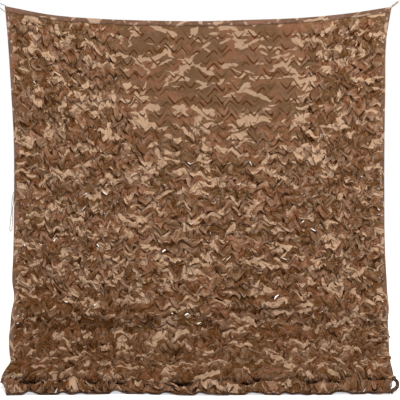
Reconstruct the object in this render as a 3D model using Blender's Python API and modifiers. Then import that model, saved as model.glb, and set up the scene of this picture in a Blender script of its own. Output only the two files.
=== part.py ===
"""A die-cut camouflage net, hung by its two top corners, with its foot heaped on the floor.

Metres, +Z up, +X to the right, with the front towards -Y. The origin is the middle of the top edge.

Every cloth piece is laid out flat first, in cloth coordinates: metres across from the middle, metres
down from the top edge, and metres out from the face. hung() then says where such a point hangs.
"""

import math
from collections import namedtuple

import bmesh
import bpy
import numpy as np
from mathutils import Vector

# The net
NET_WIDTH = 2.0
HANG_HEIGHT = 1.865  # from the floor to the middle of the top edge
CLOTH_THICK = 0.002

# The binding: a strip folded over each edge of the net
BINDING_WIDTH = 0.025
BINDING_THICK = 0.0015
CLEARANCE = 0.0009  # between the net and the binding's two legs
BINDING_END_GAP = 0.0012  # between a side binding's end and the leg of the binding that crosses it
PIECE_GAP = 0.0003  # between a cord and what it starts from

# The slits, at twice the spacing of the real die
COLUMNS = 42
SLIT_PITCH = 0.0675
FIRST_SLIT = 0.090
SLIT_RISE = 0.020  # how far an apex lies above or below the tips
LEAST_OPENING = 0.004  # half the height of the least opened slit
MOST_OPENING = 0.009
CLOSED_BELOW = 0.30  # cloth tauter than this keeps its slits shut

# The cords
LEFT_CORD = 0.004
RIGHT_CORD = 0.005
LOOP_CORD = 0.003
KNOT_SIZE = 0.016
KNOT_PLACE = (-1.074, 0.0, 1.981)  # across, forward, and above the floor
STRAND_SHIFT = 0.0022  # of each left strand's end, before or behind the knot's middle
RIGHT_TIE_LENGTH = 0.044
RIGHT_TIE_WAY = (0.79, 0.0, 0.61)
TAPE_WIDTH = 0.014

# Heights and half widths of the net, from the top edge down to its front hem. Forward is towards -Y.
Section = namedtuple("Section", "height forward left right")
SECTIONS = [
    Section(1.865, 0.000, 1.000, 1.000),
    Section(1.720, 0.000, 0.987, 0.975),
    Section(1.460, 0.004, 0.969, 0.969),
    Section(1.200, 0.008, 0.954, 0.965),
    Section(0.940, 0.006, 0.953, 0.964),
    Section(0.630, 0.010, 0.956, 0.966),
    Section(0.500, 0.006, 0.961, 0.974),
    Section(0.420, 0.014, 0.951, 0.978),
    Section(0.320, 0.010, 0.966, 0.981),
    Section(0.240, 0.014, 0.974, 0.982),  # the heap starts
    Section(0.180, 0.032, 0.970, 0.978),
    Section(0.142, 0.062, 0.959, 0.973),
    Section(0.120, 0.105, 0.944, 0.966),
    Section(0.100, 0.144, 0.953, 0.962),
    Section(0.080, 0.167, 0.964, 0.964),
    Section(0.058, 0.173, 0.973, 0.967),
    Section(0.040, 0.166, 0.979, 0.969),
    Section(0.030, 0.146, 0.984, 0.970),
    Section(0.035, 0.064, 0.986, 0.970),
    Section(0.033, 0.042, 0.984, 0.970),
    Section(0.0265, 0.029, 0.981, 0.970),
    Section(0.017, 0.026, 0.978, 0.969),
    Section(0.0085, 0.034, 0.975, 0.968),
    Section(0.0045, 0.060, 0.972, 0.967),
    Section(0.0045, 0.140, 0.964, 0.962),
    Section(0.021, 0.182, 0.958, 0.957),
    Section(0.040, 0.204, 0.952, 0.951),
    Section(0.044, 0.220, 0.946, 0.945),
    Section(0.034, 0.238, 0.938, 0.939),
    Section(0.012, 0.246, 0.934, 0.936),
    Section(0.0052, 0.253, 0.930, 0.933),
    Section(0.0045, 0.282, 0.918, 0.924),
]
HEAP_SECTION = 9  # the row above where the heap starts

# How far the top edge hangs above its own middle, across the net
TopPoint = namedtuple("TopPoint", "across rise")
TOP_EDGE = [
    TopPoint(-1.00, 0.078),
    TopPoint(-0.77, 0.034),
    TopPoint(-0.51, 0.012),
    TopPoint(-0.25, 0.003),
    TopPoint(0.00, 0.000),
    TopPoint(0.27, 0.007),
    TopPoint(0.53, 0.017),
    TopPoint(0.79, 0.042),
    TopPoint(1.00, 0.074),
]

# Gentle waves of the hanging cloth towards the front: rates are radians for each metre
Billow = namedtuple("Billow", "depth across_rate down_rate start")
BILLOWS = [
    Billow(0.010, 2.6, 1.7, 0.5),
    Billow(0.006, 5.2, -3.1, 1.2),
]
BILLOW_FADE = 0.35  # from none at the taut top edge to the whole depth

# Slack folds above the heap, which rise and fall across the net
Wave = namedtuple("Wave", "swing rate start")
FOLD_DEPTH = 0.018
FOLD_START = 1.28
FOLD_FADE = 0.25
FOLD_LENGTH = 0.17
FOLD_SWAY = [Wave(0.9, 2.4, 0.6), Wave(0.5, 6.1, 0.0)]

# How the heap's reach and height vary across the net, as a share of the sections'
HEAP_REACH = [Wave(0.040, 4.3, 0.7), Wave(0.025, 9.7, 2.0)]
HEAP_LIFT = [Wave(0.12, 3.1, -0.9), Wave(0.08, 7.9, 0.4)]
HEAP_EASE = 0.10  # length of cloth over which the variation sets in
CORNERS_FORWARD = 0.05

GROUND = (0.23, 0.15, 0.09)
TAPE_BROWN = (0.20, 0.13, 0.10)
GREY_CORD = (0.42, 0.38, 0.35)
PALE_CORD = (0.62, 0.53, 0.43)


# ---------------------------------------------------------------- the shape in which the net hangs


def smooth(at, xs, ys):
    """The cubic through the points at which each slope follows from the neighbours, read at one place."""
    xs, ys = np.asarray(xs, float), np.asarray(ys, float)
    slopes = np.gradient(ys, xs)
    i = int(np.clip(np.searchsorted(xs, at) - 1, 0, len(xs) - 2))
    span = xs[i + 1] - xs[i]
    if not xs[0] <= at <= xs[-1]:
        end = 0 if at < xs[0] else -1
        return ys[end] + slopes[end] * (at - xs[end])
    t = (at - xs[i]) / span
    near = (1 + 2 * t) * (1 - t) ** 2 * ys[i] + t * (1 - t) ** 2 * span * slopes[i]
    far = t * t * (3 - 2 * t) * ys[i + 1] + t * t * (t - 1) * span * slopes[i + 1]
    return near + far


def ramp(value, low, high):
    """0 below low, 1 above high, and an even curve between."""
    t = min(max((value - low) / (high - low), 0), 1)
    return t * t * (3 - 2 * t)


def length_down(sections):
    """The cloth's length from the top edge to each section."""
    steps = [
        math.hypot(b.height - a.height, b.forward - a.forward)
        for a, b in zip(sections, sections[1:])
    ]
    return np.concatenate([[0], np.cumsum(steps)])


DOWN = length_down(SECTIONS)
NET_LENGTH = float(DOWN[-1])
HEAP_START = float(DOWN[HEAP_SECTION])
HEIGHTS, FORWARDS, LEFTS, RIGHTS = (
    [getattr(section, field) for section in SECTIONS] for field in Section._fields
)
ACROSS, RISES = ([getattr(point, field) for point in TOP_EDGE] for field in TopPoint._fields)


def waves(table, across):
    return sum(wave.swing * math.sin(wave.rate * across + wave.start) for wave in table)


def heap_reach(across):
    """How far the heap comes forward here, as a share of the sections'. Its corners lie furthest out."""
    return 1 + waves(HEAP_REACH, across) + CORNERS_FORWARD * across**8


def billow(across, down):
    """How far waves and folds bring the hanging cloth forward. They end where the heap starts."""
    slow = sum(
        b.depth * math.sin(b.across_rate * across + b.down_rate * down + b.start) for b in BILLOWS
    )
    phase = 2 * math.pi * (down - FOLD_START) / FOLD_LENGTH + waves(FOLD_SWAY, across)
    depth = FOLD_DEPTH * (0.7 + 0.3 * math.sin(3.7 * across + 2 * down))
    folds = depth * math.sin(phase) * ramp(down, FOLD_START, FOLD_START + FOLD_FADE)
    fade_out = 1 - ramp(down, HEAP_START - 0.06, HEAP_START + 0.08)
    return (slow * ramp(down, 0.0, BILLOW_FADE) + folds) * fade_out


def surface(across, down):
    """Where a point of the net's middle surface hangs."""
    height = smooth(down, DOWN, HEIGHTS)
    forward = smooth(down, DOWN, FORWARDS)
    left, right = smooth(down, DOWN, LEFTS), smooth(down, DOWN, RIGHTS)
    in_heap = ramp(down, HEAP_START, HEAP_START + HEAP_EASE)
    height *= 1 + waves(HEAP_LIFT, across) * in_heap * ramp(height, 0.008, 0.03)
    forward *= 1 + (heap_reach(across) - 1) * in_heap
    forward += billow(across, down)
    rise = smooth(across, ACROSS, RISES) * min(height / HANG_HEIGHT, 1)
    x = (right - left) / 2 + across * (right + left) / 2
    return Vector((x, -forward, height + rise - HANG_HEIGHT))


def facing(across, down):
    """The direction out of the net's front face."""
    step = 0.002
    sideways = surface(across + step, down) - surface(across - step, down)
    downwards = surface(across, down + step) - surface(across, down - step)
    return downwards.cross(sideways).normalized()


def hung(across, down, out=0.0):
    return surface(across, down) + out * facing(across, down)


# ---------------------------------------------------------------- scene helpers


def start_clean():
    for thing in list(bpy.data.objects):
        bpy.data.objects.remove(thing, do_unlink=True)


def material(name, color, roughness=0.85):
    made = bpy.data.materials.new(name)
    made.use_nodes = True
    shader = made.node_tree.nodes["Principled BSDF"]
    shader.inputs["Base Color"].default_value = (*color, 1)
    shader.inputs["Roughness"].default_value = roughness
    shader.inputs["Metallic"].default_value = 0.0
    return made


def add(name, data, finish):
    thing = bpy.data.objects.new(name, data)
    data.materials.append(finish)
    PARTS.objects.link(thing)
    return thing


def add_sheet(name, bm, thick, finish):
    """A sheet given its thickness about its middle surface."""
    mesh = bpy.data.meshes.new(name)
    bm.to_mesh(mesh)
    bm.free()
    mesh.shade_smooth()
    mesh.set_sharp_from_angle(angle=math.radians(40))
    piece = add(name, mesh, finish)
    solid = piece.modifiers.new("Thickness", "SOLIDIFY")
    solid.thickness = thick
    solid.offset = 0
    solid.use_even_offset = True
    return piece


def add_cloth(name, bm, thick, finish):
    """A piece laid out in cloth coordinates, hung in its place."""
    for vertex in bm.verts:
        vertex.co = hung(*vertex.co)
    return add_sheet(name, bm, thick, finish)


def lined_grid(across_lines, down_lines):
    """A flat sheet whose edges run along these lines, and its vertices as rows[down][across]."""
    bm = bmesh.new()
    wide, long = len(across_lines), len(down_lines)
    bmesh.ops.create_grid(bm, x_segments=wide - 1, y_segments=long - 1, size=1)
    bm.verts.ensure_lookup_table()
    rows = [[bm.verts[j * wide + i] for i in range(wide)] for j in range(long)]
    for j, down in enumerate(down_lines):
        for i, across in enumerate(across_lines):
            rows[j][i].co = (across, down, 0)
    return bm, rows


# ---------------------------------------------------------------- the net

EDGE = BINDING_THICK + CLEARANCE  # the net's own edge lies this far inside the binding's fold
HALF = NET_WIDTH / 2
INNER_LINES = np.linspace(BINDING_WIDTH - HALF, HALF - BINDING_WIDTH, COLUMNS + 1)
ACROSS_LINES = [EDGE - HALF, *INNER_LINES, HALF - EDGE]
SLIT_LINES = np.arange(FIRST_SLIT, HEAP_START - SLIT_PITCH / 2, SLIT_PITCH)
FOLD_LINES = [d + SLIT_PITCH / 2 for d in SLIT_LINES if d > FOLD_START]
HEAP_LINES = [*DOWN[HEAP_SECTION:-1], NET_LENGTH - BINDING_WIDTH]
DOWN_LINES = [EDGE, BINDING_WIDTH, *sorted([*SLIT_LINES, *FOLD_LINES]), *HEAP_LINES, NET_LENGTH - EDGE]


def looseness(across, down):
    """0 where the net is drawn flat below the middle of its top edge, and 1 where it hangs slack."""
    sideways = max(0, abs(across - 0.09) - 0.38) / 0.25
    below = max(0, down - 0.55) / 0.35
    return min(1, sideways + below)


def zigzag(column):
    """Apexes alternate down and up on every second line, so that slits point both ways."""
    if not 0 < column < COLUMNS:
        return 0
    return {0: SLIT_RISE, 2: -SLIT_RISE}.get(column % 4, 0)


def slit_columns(row):
    """The middle lines of this row's slits: downward ones on even rows, upward ones on odd rows."""
    return range(4 if row % 2 == 0 else 2, COLUMNS - 1, 4)


def open_slit(bm, vertices, column):
    """Cuts along the zigzag on both sides of one apex, and draws the two lips apart."""
    left, apex, right = vertices[column : column + 3]
    loose = looseness(apex.co.x, apex.co.y)
    if loose < CLOSED_BELOW:
        return 0
    place = apex.co.copy()
    cut = bmesh.ops.split_edges(bm, edges=[bm.edges.get((left, apex)), bm.edges.get((apex, right))])
    lips = {v for edge in cut["edges"] for v in edge.verts if (v.co - place).length < CLEARANCE}
    half = LEAST_OPENING + (MOST_OPENING - LEAST_OPENING) * loose
    for lip in lips:
        middle = sum((face.calc_center_median().y for face in lip.link_faces)) / len(lip.link_faces)
        lip.co.y += half if middle > place.y else -half
    return 1


def make_net(finish):
    bm, rows = lined_grid(ACROSS_LINES, DOWN_LINES)
    zigzag_rows = [j for j, down in enumerate(DOWN_LINES) if FIRST_SLIT <= down < HEAP_START - 0.01]
    for j in zigzag_rows:
        for i, vertex in enumerate(rows[j]):
            vertex.co.y += zigzag(i - 1)
    opened = 0
    for row, down in enumerate(SLIT_LINES):
        vertices = rows[int(np.argmin(np.abs(np.subtract(DOWN_LINES, down))))]
        for column in slit_columns(row):
            opened += open_slit(bm, vertices, column)
    print("slits opened:", opened)
    return add_cloth("net_cloth", bm, CLOTH_THICK, finish)


# ---------------------------------------------------------------- the bindings

LEG_OUT = CLOTH_THICK / 2 + CLEARANCE + BINDING_THICK / 2
# A binding's middle surface: (in from the fold, out from the net's face), from front leg to back leg
BINDING_SECTION = [
    (BINDING_WIDTH, LEG_OUT),
    (BINDING_THICK / 2, LEG_OUT),
    (BINDING_THICK / 2, -LEG_OUT),
    (BINDING_WIDTH, -LEG_OUT),
]


def make_binding(name, stations, place, finish):
    """A strip folded over one edge. place(along, inward) gives cloth coordinates."""
    bm, rows = lined_grid(stations, range(len(BINDING_SECTION)))
    for (inward, out), row in zip(BINDING_SECTION, rows):
        for vertex in row:
            vertex.co = (*place(vertex.co.x, inward), out)
    return add_cloth(name, bm, BINDING_THICK, finish)


def make_bindings(finish):
    wide = [-HALF, *INNER_LINES, HALF]
    end = BINDING_WIDTH + BINDING_END_GAP
    long = [end, *DOWN_LINES[2:-2], NET_LENGTH - end]
    make_binding("binding_top", wide, lambda along, inward: (along, inward), finish)
    make_binding("binding_bottom", wide, lambda along, inward: (along, NET_LENGTH - inward), finish)
    make_binding("binding_left", long, lambda along, inward: (inward - HALF, along), finish)
    make_binding("binding_right", long, lambda along, inward: (HALF - inward, along), finish)


# ---------------------------------------------------------------- the cords and the corner loop


def curve_through(points, spacing):
    """Evenly spaced points along a smooth curve through these."""
    points = np.array([tuple(p) for p in points], float)
    at = np.concatenate([[0], np.cumsum(np.linalg.norm(np.diff(points, axis=0), axis=1))])
    count = max(3, round(at[-1] / spacing) + 1)
    return [
        tuple(smooth(s, at, points[:, k]) for k in range(3)) for s in np.linspace(0, at[-1], count)
    ]


def make_tube(name, points, thick, finish):
    curve = bpy.data.curves.new(name, "CURVE")
    curve.dimensions = "3D"
    curve.bevel_depth = thick / 2
    curve.bevel_resolution = 2
    curve.use_fill_caps = True
    spline = curve.splines.new("POLY")
    spline.points.add(len(points) - 1)
    for point, place in zip(spline.points, points):
        point.co = (*place, 1)
        point.radius = 1
    return add(name, curve, finish)


def at_height(x, forward, height):
    """A place given by its height above the floor."""
    return Vector((x, -forward, height - HANG_HEIGHT))


def make_left_tie(finish):
    """Two strands of one cord, which leave the top left corner and meet in a knot."""
    knot = at_height(*KNOT_PLACE)
    seat = LEFT_CORD / 2 + PIECE_GAP
    starts = {
        "tie_left_upper": hung(0.006 - HALF, -seat),
        "tie_left_lower": hung(-HALF - seat, 0.030),
    }
    behind = {"tie_left_upper": -STRAND_SHIFT, "tie_left_lower": STRAND_SHIFT}
    for name, start in starts.items():
        target = knot + Vector((0, behind[name], 0))
        end = target - (target - start).normalized() * (KNOT_SIZE / 2 + PIECE_GAP)
        middle = start.lerp(end, 0.5) - Vector((0, 0, 0.002))
        make_tube(name, curve_through([start, middle, end], 3 * LEFT_CORD), LEFT_CORD, finish)
    bpy.ops.mesh.primitive_uv_sphere_add(segments=12, ring_count=8, radius=KNOT_SIZE / 2)
    ball = bpy.context.object
    mesh = ball.data
    bpy.data.objects.remove(ball)
    mesh.shade_smooth()
    add("tie_left_knot", mesh, finish).location = knot


def make_right_tie(finish):
    """A doubled cord with its two free ends, drawn up and out from the top right corner."""
    way = Vector(RIGHT_TIE_WAY).normalized()
    side = Vector((-way.z, 0, way.x))
    corner = hung(HALF, 0.0)
    apart = (RIGHT_CORD + PIECE_GAP) / 2
    for name, across in (("tie_right_upper", apart), ("tie_right_lower", -apart)):
        start = corner + side * across + way * 2 * PIECE_GAP
        route = [start + way * RIGHT_TIE_LENGTH * share for share in (0, 0.5, 1)]
        make_tube(name, curve_through(route, 3 * RIGHT_CORD), RIGHT_CORD, finish)


# The loop that hangs from the left edge: how far it lies outside the net's edge, how far in front of
# the edge's middle, and its height above the floor.
LoopPoint = namedtuple("LoopPoint", "outside forward height")
SIDE_LOOP = [
    LoopPoint(0.0018, 0.000, 0.981),
    LoopPoint(0.0060, 0.001, 0.962),
    LoopPoint(0.0105, 0.003, 0.925),
    LoopPoint(0.0100, 0.005, 0.888),
    LoopPoint(0.0145, 0.004, 0.850),
    LoopPoint(0.0190, 0.002, 0.805),
    LoopPoint(0.0195, 0.001, 0.786),
    LoopPoint(0.0155, 0.000, 0.778),
    LoopPoint(0.0110, -0.001, 0.786),
    LoopPoint(0.0085, -0.002, 0.805),
    LoopPoint(0.0070, -0.002, 0.850),
    LoopPoint(0.0085, 0.000, 0.888),
    LoopPoint(0.0035, -0.003, 0.925),
    LoopPoint(0.0030, -0.005, 0.945),
    LoopPoint(0.0018, -0.006, 0.962),
]


def make_side_loop(finish):
    route = []
    for point in SIDE_LOOP:
        down = HANG_HEIGHT + 0.078 * point.height / HANG_HEIGHT - point.height
        edge = hung(-HALF, down)
        out = Vector((-point.outside - PIECE_GAP, -point.forward, 0))
        route.append(Vector((edge.x, edge.y, point.height - HANG_HEIGHT)) + out)
    make_tube("side_loop", curve_through(route, 3 * LOOP_CORD), LOOP_CORD, finish)


# The loop of tape at the lower right corner: how far each point lies from its start, which is the
# net's corner. Its other end is at the front of the heap's upper fold.
CORNER_LOOP = [
    LoopPoint(0.012, -0.006, 0.001),
    LoopPoint(0.030, -0.022, 0.006),
    LoopPoint(0.042, -0.036, 0.018),
    LoopPoint(0.047, -0.058, 0.038),
    LoopPoint(0.045, -0.080, 0.051),
]
FOLD_SECTION = 15


def edge_way(down):
    """The direction in which the net's right-hand edge runs here."""
    step = 0.004
    return (hung(HALF, down + step) - hung(HALF, down - step)).normalized()


def make_corner_loop(finish):
    """A flat tape bent round in a loop beside the heap, with both its ends at the net's right edge."""
    beside = HALF + BINDING_THICK / 2 + 2 * PIECE_GAP
    first, last = NET_LENGTH - 0.013, DOWN[FOLD_SECTION]
    start, end = hung(beside, first), hung(beside, last)
    turns = [start + Vector((p.outside, -p.forward, p.height)) for p in CORNER_LOOP]
    route = curve_through([start, *turns, end], 0.010)
    bm, rows = lined_grid(range(len(route)), (-TAPE_WIDTH / 2, TAPE_WIDTH / 2))
    for i, place in enumerate(route):
        wide = edge_way(first).lerp(edge_way(last), i / (len(route) - 1)).normalized()
        for row in rows:
            row[i].co = Vector(place) + row[i].co.y * wide
    add_sheet("corner_loop", bm, BINDING_THICK, finish)


start_clean()
PARTS = bpy.data.collections.new("camouflage_net")
bpy.context.scene.collection.children.link(PARTS)
make_net(material("printed_cloth", GROUND))
make_bindings(material("binding_cloth", TAPE_BROWN))
make_left_tie(material("grey_cord", GREY_CORD))
make_right_tie(material("pale_cord", PALE_CORD))
make_side_loop(bpy.data.materials["grey_cord"])
make_corner_loop(bpy.data.materials["binding_cloth"])
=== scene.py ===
# %% [markdown]
# # A camouflage net, hung up by its corners
# The real net is one piece of thin printed polyester. A die has cut it through with rows of short
# V-shaped slits, so that it can be drawn out, and where it hangs loose the tongues between the slits
# curl out like leaves. A folded strip of the same cloth binds its edges, and short cords tie it up.
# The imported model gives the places. This script dresses it.

# %% Load the frame
import math
from collections import namedtuple

import bmesh
import bpy
import numpy as np
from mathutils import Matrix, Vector


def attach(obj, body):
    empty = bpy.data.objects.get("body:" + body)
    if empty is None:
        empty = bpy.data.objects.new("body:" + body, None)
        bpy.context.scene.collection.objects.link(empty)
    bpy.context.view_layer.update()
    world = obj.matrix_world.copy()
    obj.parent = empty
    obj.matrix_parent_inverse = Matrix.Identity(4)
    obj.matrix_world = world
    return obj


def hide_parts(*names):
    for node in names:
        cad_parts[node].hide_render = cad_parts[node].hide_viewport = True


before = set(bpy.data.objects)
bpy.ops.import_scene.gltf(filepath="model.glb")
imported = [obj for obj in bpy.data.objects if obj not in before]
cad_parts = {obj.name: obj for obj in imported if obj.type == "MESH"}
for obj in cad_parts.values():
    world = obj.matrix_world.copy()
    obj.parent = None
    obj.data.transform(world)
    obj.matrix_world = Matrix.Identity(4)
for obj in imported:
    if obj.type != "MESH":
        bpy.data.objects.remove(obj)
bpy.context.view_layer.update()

print("nodes to dress:", ", ".join(sorted(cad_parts)))

# %% [markdown]
# ## The camera
# It stands 4 m in front of the net, at half its height, and looks straight at it. A long lens keeps the
# net's outline free of perspective. The field of view follows from the width that it has to take in.

# %% Place the camera
FLOOR = -1.865
CAMERA_DISTANCE = 4.0
CAMERA_ABOVE_FLOOR = 0.94
CAMERA_ACROSS = 0.009
VIEW_WIDTH = 2.069

camera_data = bpy.data.cameras.new("camera")
camera_data.angle = 2 * math.atan(VIEW_WIDTH / 2 / CAMERA_DISTANCE)
camera = bpy.data.objects.new("camera", camera_data)
camera.location = (CAMERA_ACROSS, -CAMERA_DISTANCE, FLOOR + CAMERA_ABOVE_FLOOR)
camera.rotation_euler = (math.radians(90), 0, 0)
bpy.context.scene.collection.objects.link(camera)
bpy.context.scene.camera = camera
print("field of view:", round(math.degrees(camera_data.angle), 1), "degrees")

# %% [markdown]
# ## Where the net hangs
# A cloth is easiest to make flat. So every cloth piece here is laid out in cloth coordinates, in metres:
# across from the middle, down from the top edge, and out from the face. One function, `hung`, then says
# where such a point is in the room. It reads a table of sections down the net: down to the heap these
# are nearly straight below each other, and then they fold forward, back and forward again on the floor.
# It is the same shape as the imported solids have, so the dressed net covers them.

# %% The sections of the hanging net
NET_WIDTH = 2.0
HALF = NET_WIDTH / 2
HANG_HEIGHT = -FLOOR  # from the floor to the middle of the top edge

Section = namedtuple("Section", "height forward left right")
SECTIONS = [Section(*row) for row in (
    (1.865, 0.000, 1.000, 1.000),
    (1.720, 0.000, 0.987, 0.975),
    (1.460, 0.004, 0.969, 0.969),
    (1.200, 0.008, 0.954, 0.965),
    (0.940, 0.006, 0.953, 0.964),
    (0.630, 0.010, 0.956, 0.966),
    (0.500, 0.006, 0.961, 0.974),
    (0.420, 0.014, 0.951, 0.978),
    (0.320, 0.010, 0.966, 0.981),
    (0.240, 0.014, 0.974, 0.982),  # the heap starts
    (0.180, 0.032, 0.970, 0.978),
    (0.142, 0.062, 0.959, 0.973),
    (0.120, 0.105, 0.944, 0.966),
    (0.100, 0.144, 0.953, 0.962),
    (0.080, 0.167, 0.964, 0.964),  # the slope leans out no further
    (0.058, 0.173, 0.973, 0.967),  # the front of the heap's upper fold
    (0.040, 0.166, 0.979, 0.969),
    (0.030, 0.146, 0.984, 0.970),
    (0.035, 0.064, 0.986, 0.970),
    (0.033, 0.042, 0.984, 0.970),
    (0.0265, 0.029, 0.981, 0.970),
    (0.017, 0.026, 0.978, 0.969),
    (0.0085, 0.034, 0.975, 0.968),
    (0.0045, 0.060, 0.972, 0.967),
    (0.0045, 0.140, 0.964, 0.962),
    (0.021, 0.182, 0.958, 0.957),
    (0.040, 0.204, 0.952, 0.951),  # the last flap rises
    (0.044, 0.220, 0.946, 0.945),  # its crest
    (0.034, 0.238, 0.938, 0.939),
    (0.012, 0.246, 0.934, 0.936),
    (0.0052, 0.253, 0.930, 0.933),
    (0.0045, 0.282, 0.918, 0.924),
)]
HEAP_SECTION, LEAN_SECTION, FOLD_SECTION, FLAP_SECTION = 9, 14, 15, 26

TopPoint = namedtuple("TopPoint", "across rise")
TOP_EDGE = [TopPoint(*row) for row in (
    (-1.00, 0.078),
    (-0.77, 0.034),
    (-0.51, 0.012),
    (-0.25, 0.003),
    (0.00, 0.000),
    (0.27, 0.007),
    (0.53, 0.017),
    (0.79, 0.042),
    (1.00, 0.074),
)]

steps = [math.hypot(b.height - a.height, b.forward - a.forward) for a, b in zip(SECTIONS, SECTIONS[1:])]
DOWN = np.concatenate([[0], np.cumsum(steps)])
NET_LENGTH = float(DOWN[-1])
HEAP_START = float(DOWN[HEAP_SECTION])
print(f"the hanging cloth is {NET_LENGTH:.3f} m long, with {NET_LENGTH - HEAP_START:.3f} m in the heap")

# %% [markdown]
# A hanging cloth is never a smooth sheet. Broad billows run through it, folds set in above the heap,
# and the heap's crest and foot rise and fall. Each is a sum of a few sine waves with their own swing,
# rate and start: that is cheap, smooth everywhere, and the same each time.

# %% Waves and folds
Billow = namedtuple("Billow", "depth across_rate down_rate start")
BILLOWS = [Billow(0.010, 2.6, 1.7, 0.5), Billow(0.006, 5.2, -3.1, 1.2)]
BILLOW_FADE = 0.35  # length of cloth over which they set in

Wave = namedtuple("Wave", "swing rate start")
FOLD_DEPTH = 0.018
FOLD_START = 1.28
FOLD_FADE = 0.25
FOLD_LENGTH = 0.17
FOLD_SWAY = [Wave(0.9, 2.4, 0.6), Wave(0.5, 6.1, 0.0)]
HEAP_REACH = [Wave(0.040, 4.3, 0.7), Wave(0.025, 9.7, 2.0)]
HEAP_LIFT = [Wave(0.12, 3.1, -0.9), Wave(0.08, 7.9, 0.4)]
HEAP_EASE = 0.10
FOOT_LIFT = [Wave(0.008, 27.0, 0.3), Wave(0.007, 43.0, 1.1), Wave(0.004, 71.0, 2.0)]
FLAP_LIFT = [Wave(0.26, 17.0, 0.2), Wave(0.18, 39.0, 1.3)]
FLAP_RISE = 0.12
CORNERS_FORWARD = 0.05


def smooth(at, xs, ys):
    """The cubic through the points at which each slope follows from the neighbours."""
    xs, ys = np.asarray(xs, float), np.asarray(ys, float)
    slopes = np.gradient(ys, xs)
    i = np.clip(np.searchsorted(xs, at) - 1, 0, len(xs) - 2)
    span = xs[i + 1] - xs[i]
    inside = np.clip(at, xs[0], xs[-1])
    beyond = at - inside
    t = (inside - xs[i]) / span
    near = (1 + 2 * t) * (1 - t) ** 2 * ys[i] + t * (1 - t) ** 2 * span * slopes[i]
    far = t * t * (3 - 2 * t) * ys[i + 1] + t * t * (t - 1) * span * slopes[i + 1]
    return near + far + beyond * np.where(beyond < 0, slopes[0], slopes[-1])


def ramp(value, low, high):
    """0 below low, 1 above high, and an even curve between."""
    t = np.clip((value - low) / (high - low), 0, 1)
    return t * t * (3 - 2 * t)


def waves(table, across):
    return sum(wave.swing * np.sin(wave.rate * across + wave.start) for wave in table)


def billow(across, down):
    """How far waves and folds bring the hanging cloth forward. They end where the heap starts."""
    slow = sum(b.depth * np.sin(b.across_rate * across + b.down_rate * down + b.start) for b in BILLOWS)
    phase = 2 * math.pi * (down - FOLD_START) / FOLD_LENGTH + waves(FOLD_SWAY, across)
    depth = FOLD_DEPTH * (0.7 + 0.3 * np.sin(3.7 * across + 2 * down))
    folds = depth * np.sin(phase) * ramp(down, FOLD_START, FOLD_START + FOLD_FADE)
    fade_out = 1 - ramp(down, HEAP_START - 0.06, HEAP_START + 0.08)
    return (slow * ramp(down, 0.0, BILLOW_FADE) + folds) * fade_out


# %% From cloth coordinates to the room
HEIGHTS, FORWARDS, LEFTS, RIGHTS = np.array(SECTIONS).T
ACROSS, RISES = np.array(TOP_EDGE).T
STEP = 0.002  # how far to either side a slope of the surface is measured


def surface(across, down):
    """Where a point of the net's middle surface hangs."""
    height, forward = smooth(down, DOWN, HEIGHTS), smooth(down, DOWN, FORWARDS)
    left, right = smooth(down, DOWN, LEFTS), smooth(down, DOWN, RIGHTS)
    in_heap = ramp(down, HEAP_START, HEAP_START + HEAP_EASE)
    height = height * (1 + waves(HEAP_LIFT, across) * in_heap * ramp(height, 0.008, 0.03))
    height = height + np.maximum(waves(FOOT_LIFT, across), 0) * ramp(down, DOWN[FLAP_SECTION + 1], NET_LENGTH)
    flap = ramp(down, DOWN[FLAP_SECTION - 2], DOWN[FLAP_SECTION]) * ramp(NET_LENGTH - down, 0.01, 0.04)
    height = height * (1 + (FLAP_RISE + waves(FLAP_LIFT, across)) * flap)
    reach = waves(HEAP_REACH, across) + CORNERS_FORWARD * across**8
    forward = forward * (1 + reach * in_heap) + billow(across, down)
    rise = smooth(across, ACROSS, RISES) * np.minimum(height / HANG_HEIGHT, 1)
    x = (right - left) / 2 + across * (right + left) / 2
    return np.stack(np.broadcast_arrays(x, -forward, height + rise - HANG_HEIGHT), axis=-1)


def slopes_at(across, down):
    """How the surface runs on to the right, and downwards."""
    return (surface(across + STEP, down) - surface(across - STEP, down),
            surface(across, down + STEP) - surface(across, down - STEP))


def facing(across, down):
    """The direction out of the net's front face."""
    sideways, downwards = slopes_at(across, down)
    out = np.cross(downwards, sideways)
    return out / np.linalg.norm(out, axis=-1, keepdims=True)


def hung(across, down, out=0.0):
    across, down = np.asarray(across, float), np.asarray(down, float)
    return surface(across, down) + np.asarray(out, float)[..., None] * facing(across, down)


def above_floor(x, forward, height):
    return np.array([x, -forward, height - HANG_HEIGHT])


print("the top left corner hangs at", hung(-HALF, 0.0).round(3))

# %% [markdown]
# ## The cords
# Thin braided cords tie the net up, and one hangs in a loop from its left edge. A cord can be a curve
# with a bevel, but here it is a swept ring: a circle of corners is extruded from point to point along
# the route, so that every corner knows how far along the cord and how far round it lies. That gives
# the braid a map to follow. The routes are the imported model's own.

# %% Routes, and finished meshes
def distances(points):
    """How far along the line through these points each one lies."""
    return np.concatenate([[0], np.cumsum(np.linalg.norm(np.diff(points, axis=0), axis=1))])


def curve_through(points, spacing):
    """Evenly spaced points along a smooth curve through these."""
    points = np.array([tuple(p) for p in points], float)
    at = distances(points)
    along = np.linspace(0, at[-1], max(3, round(at[-1] / spacing) + 1))
    return np.stack([smooth(along, at, points[:, k]) for k in range(3)], axis=-1)


def length_of(route):
    return float(np.linalg.norm(np.diff(route, axis=0), axis=1).sum())


def finish_mesh(name, bm, material, smooth_shading=True):
    """Turns a bmesh into an object at the origin."""
    mesh = bpy.data.meshes.new(name)
    bm.to_mesh(mesh)
    bm.free()
    mesh.materials.append(material)
    if smooth_shading:
        mesh.shade_smooth()
    made = bpy.data.objects.new(name, mesh)
    bpy.context.scene.collection.objects.link(made)
    return made


# %% A tube along a route
END_ROUNDING = 0.8  # a sealed cut end is drawn in to this share of the cord


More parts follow.
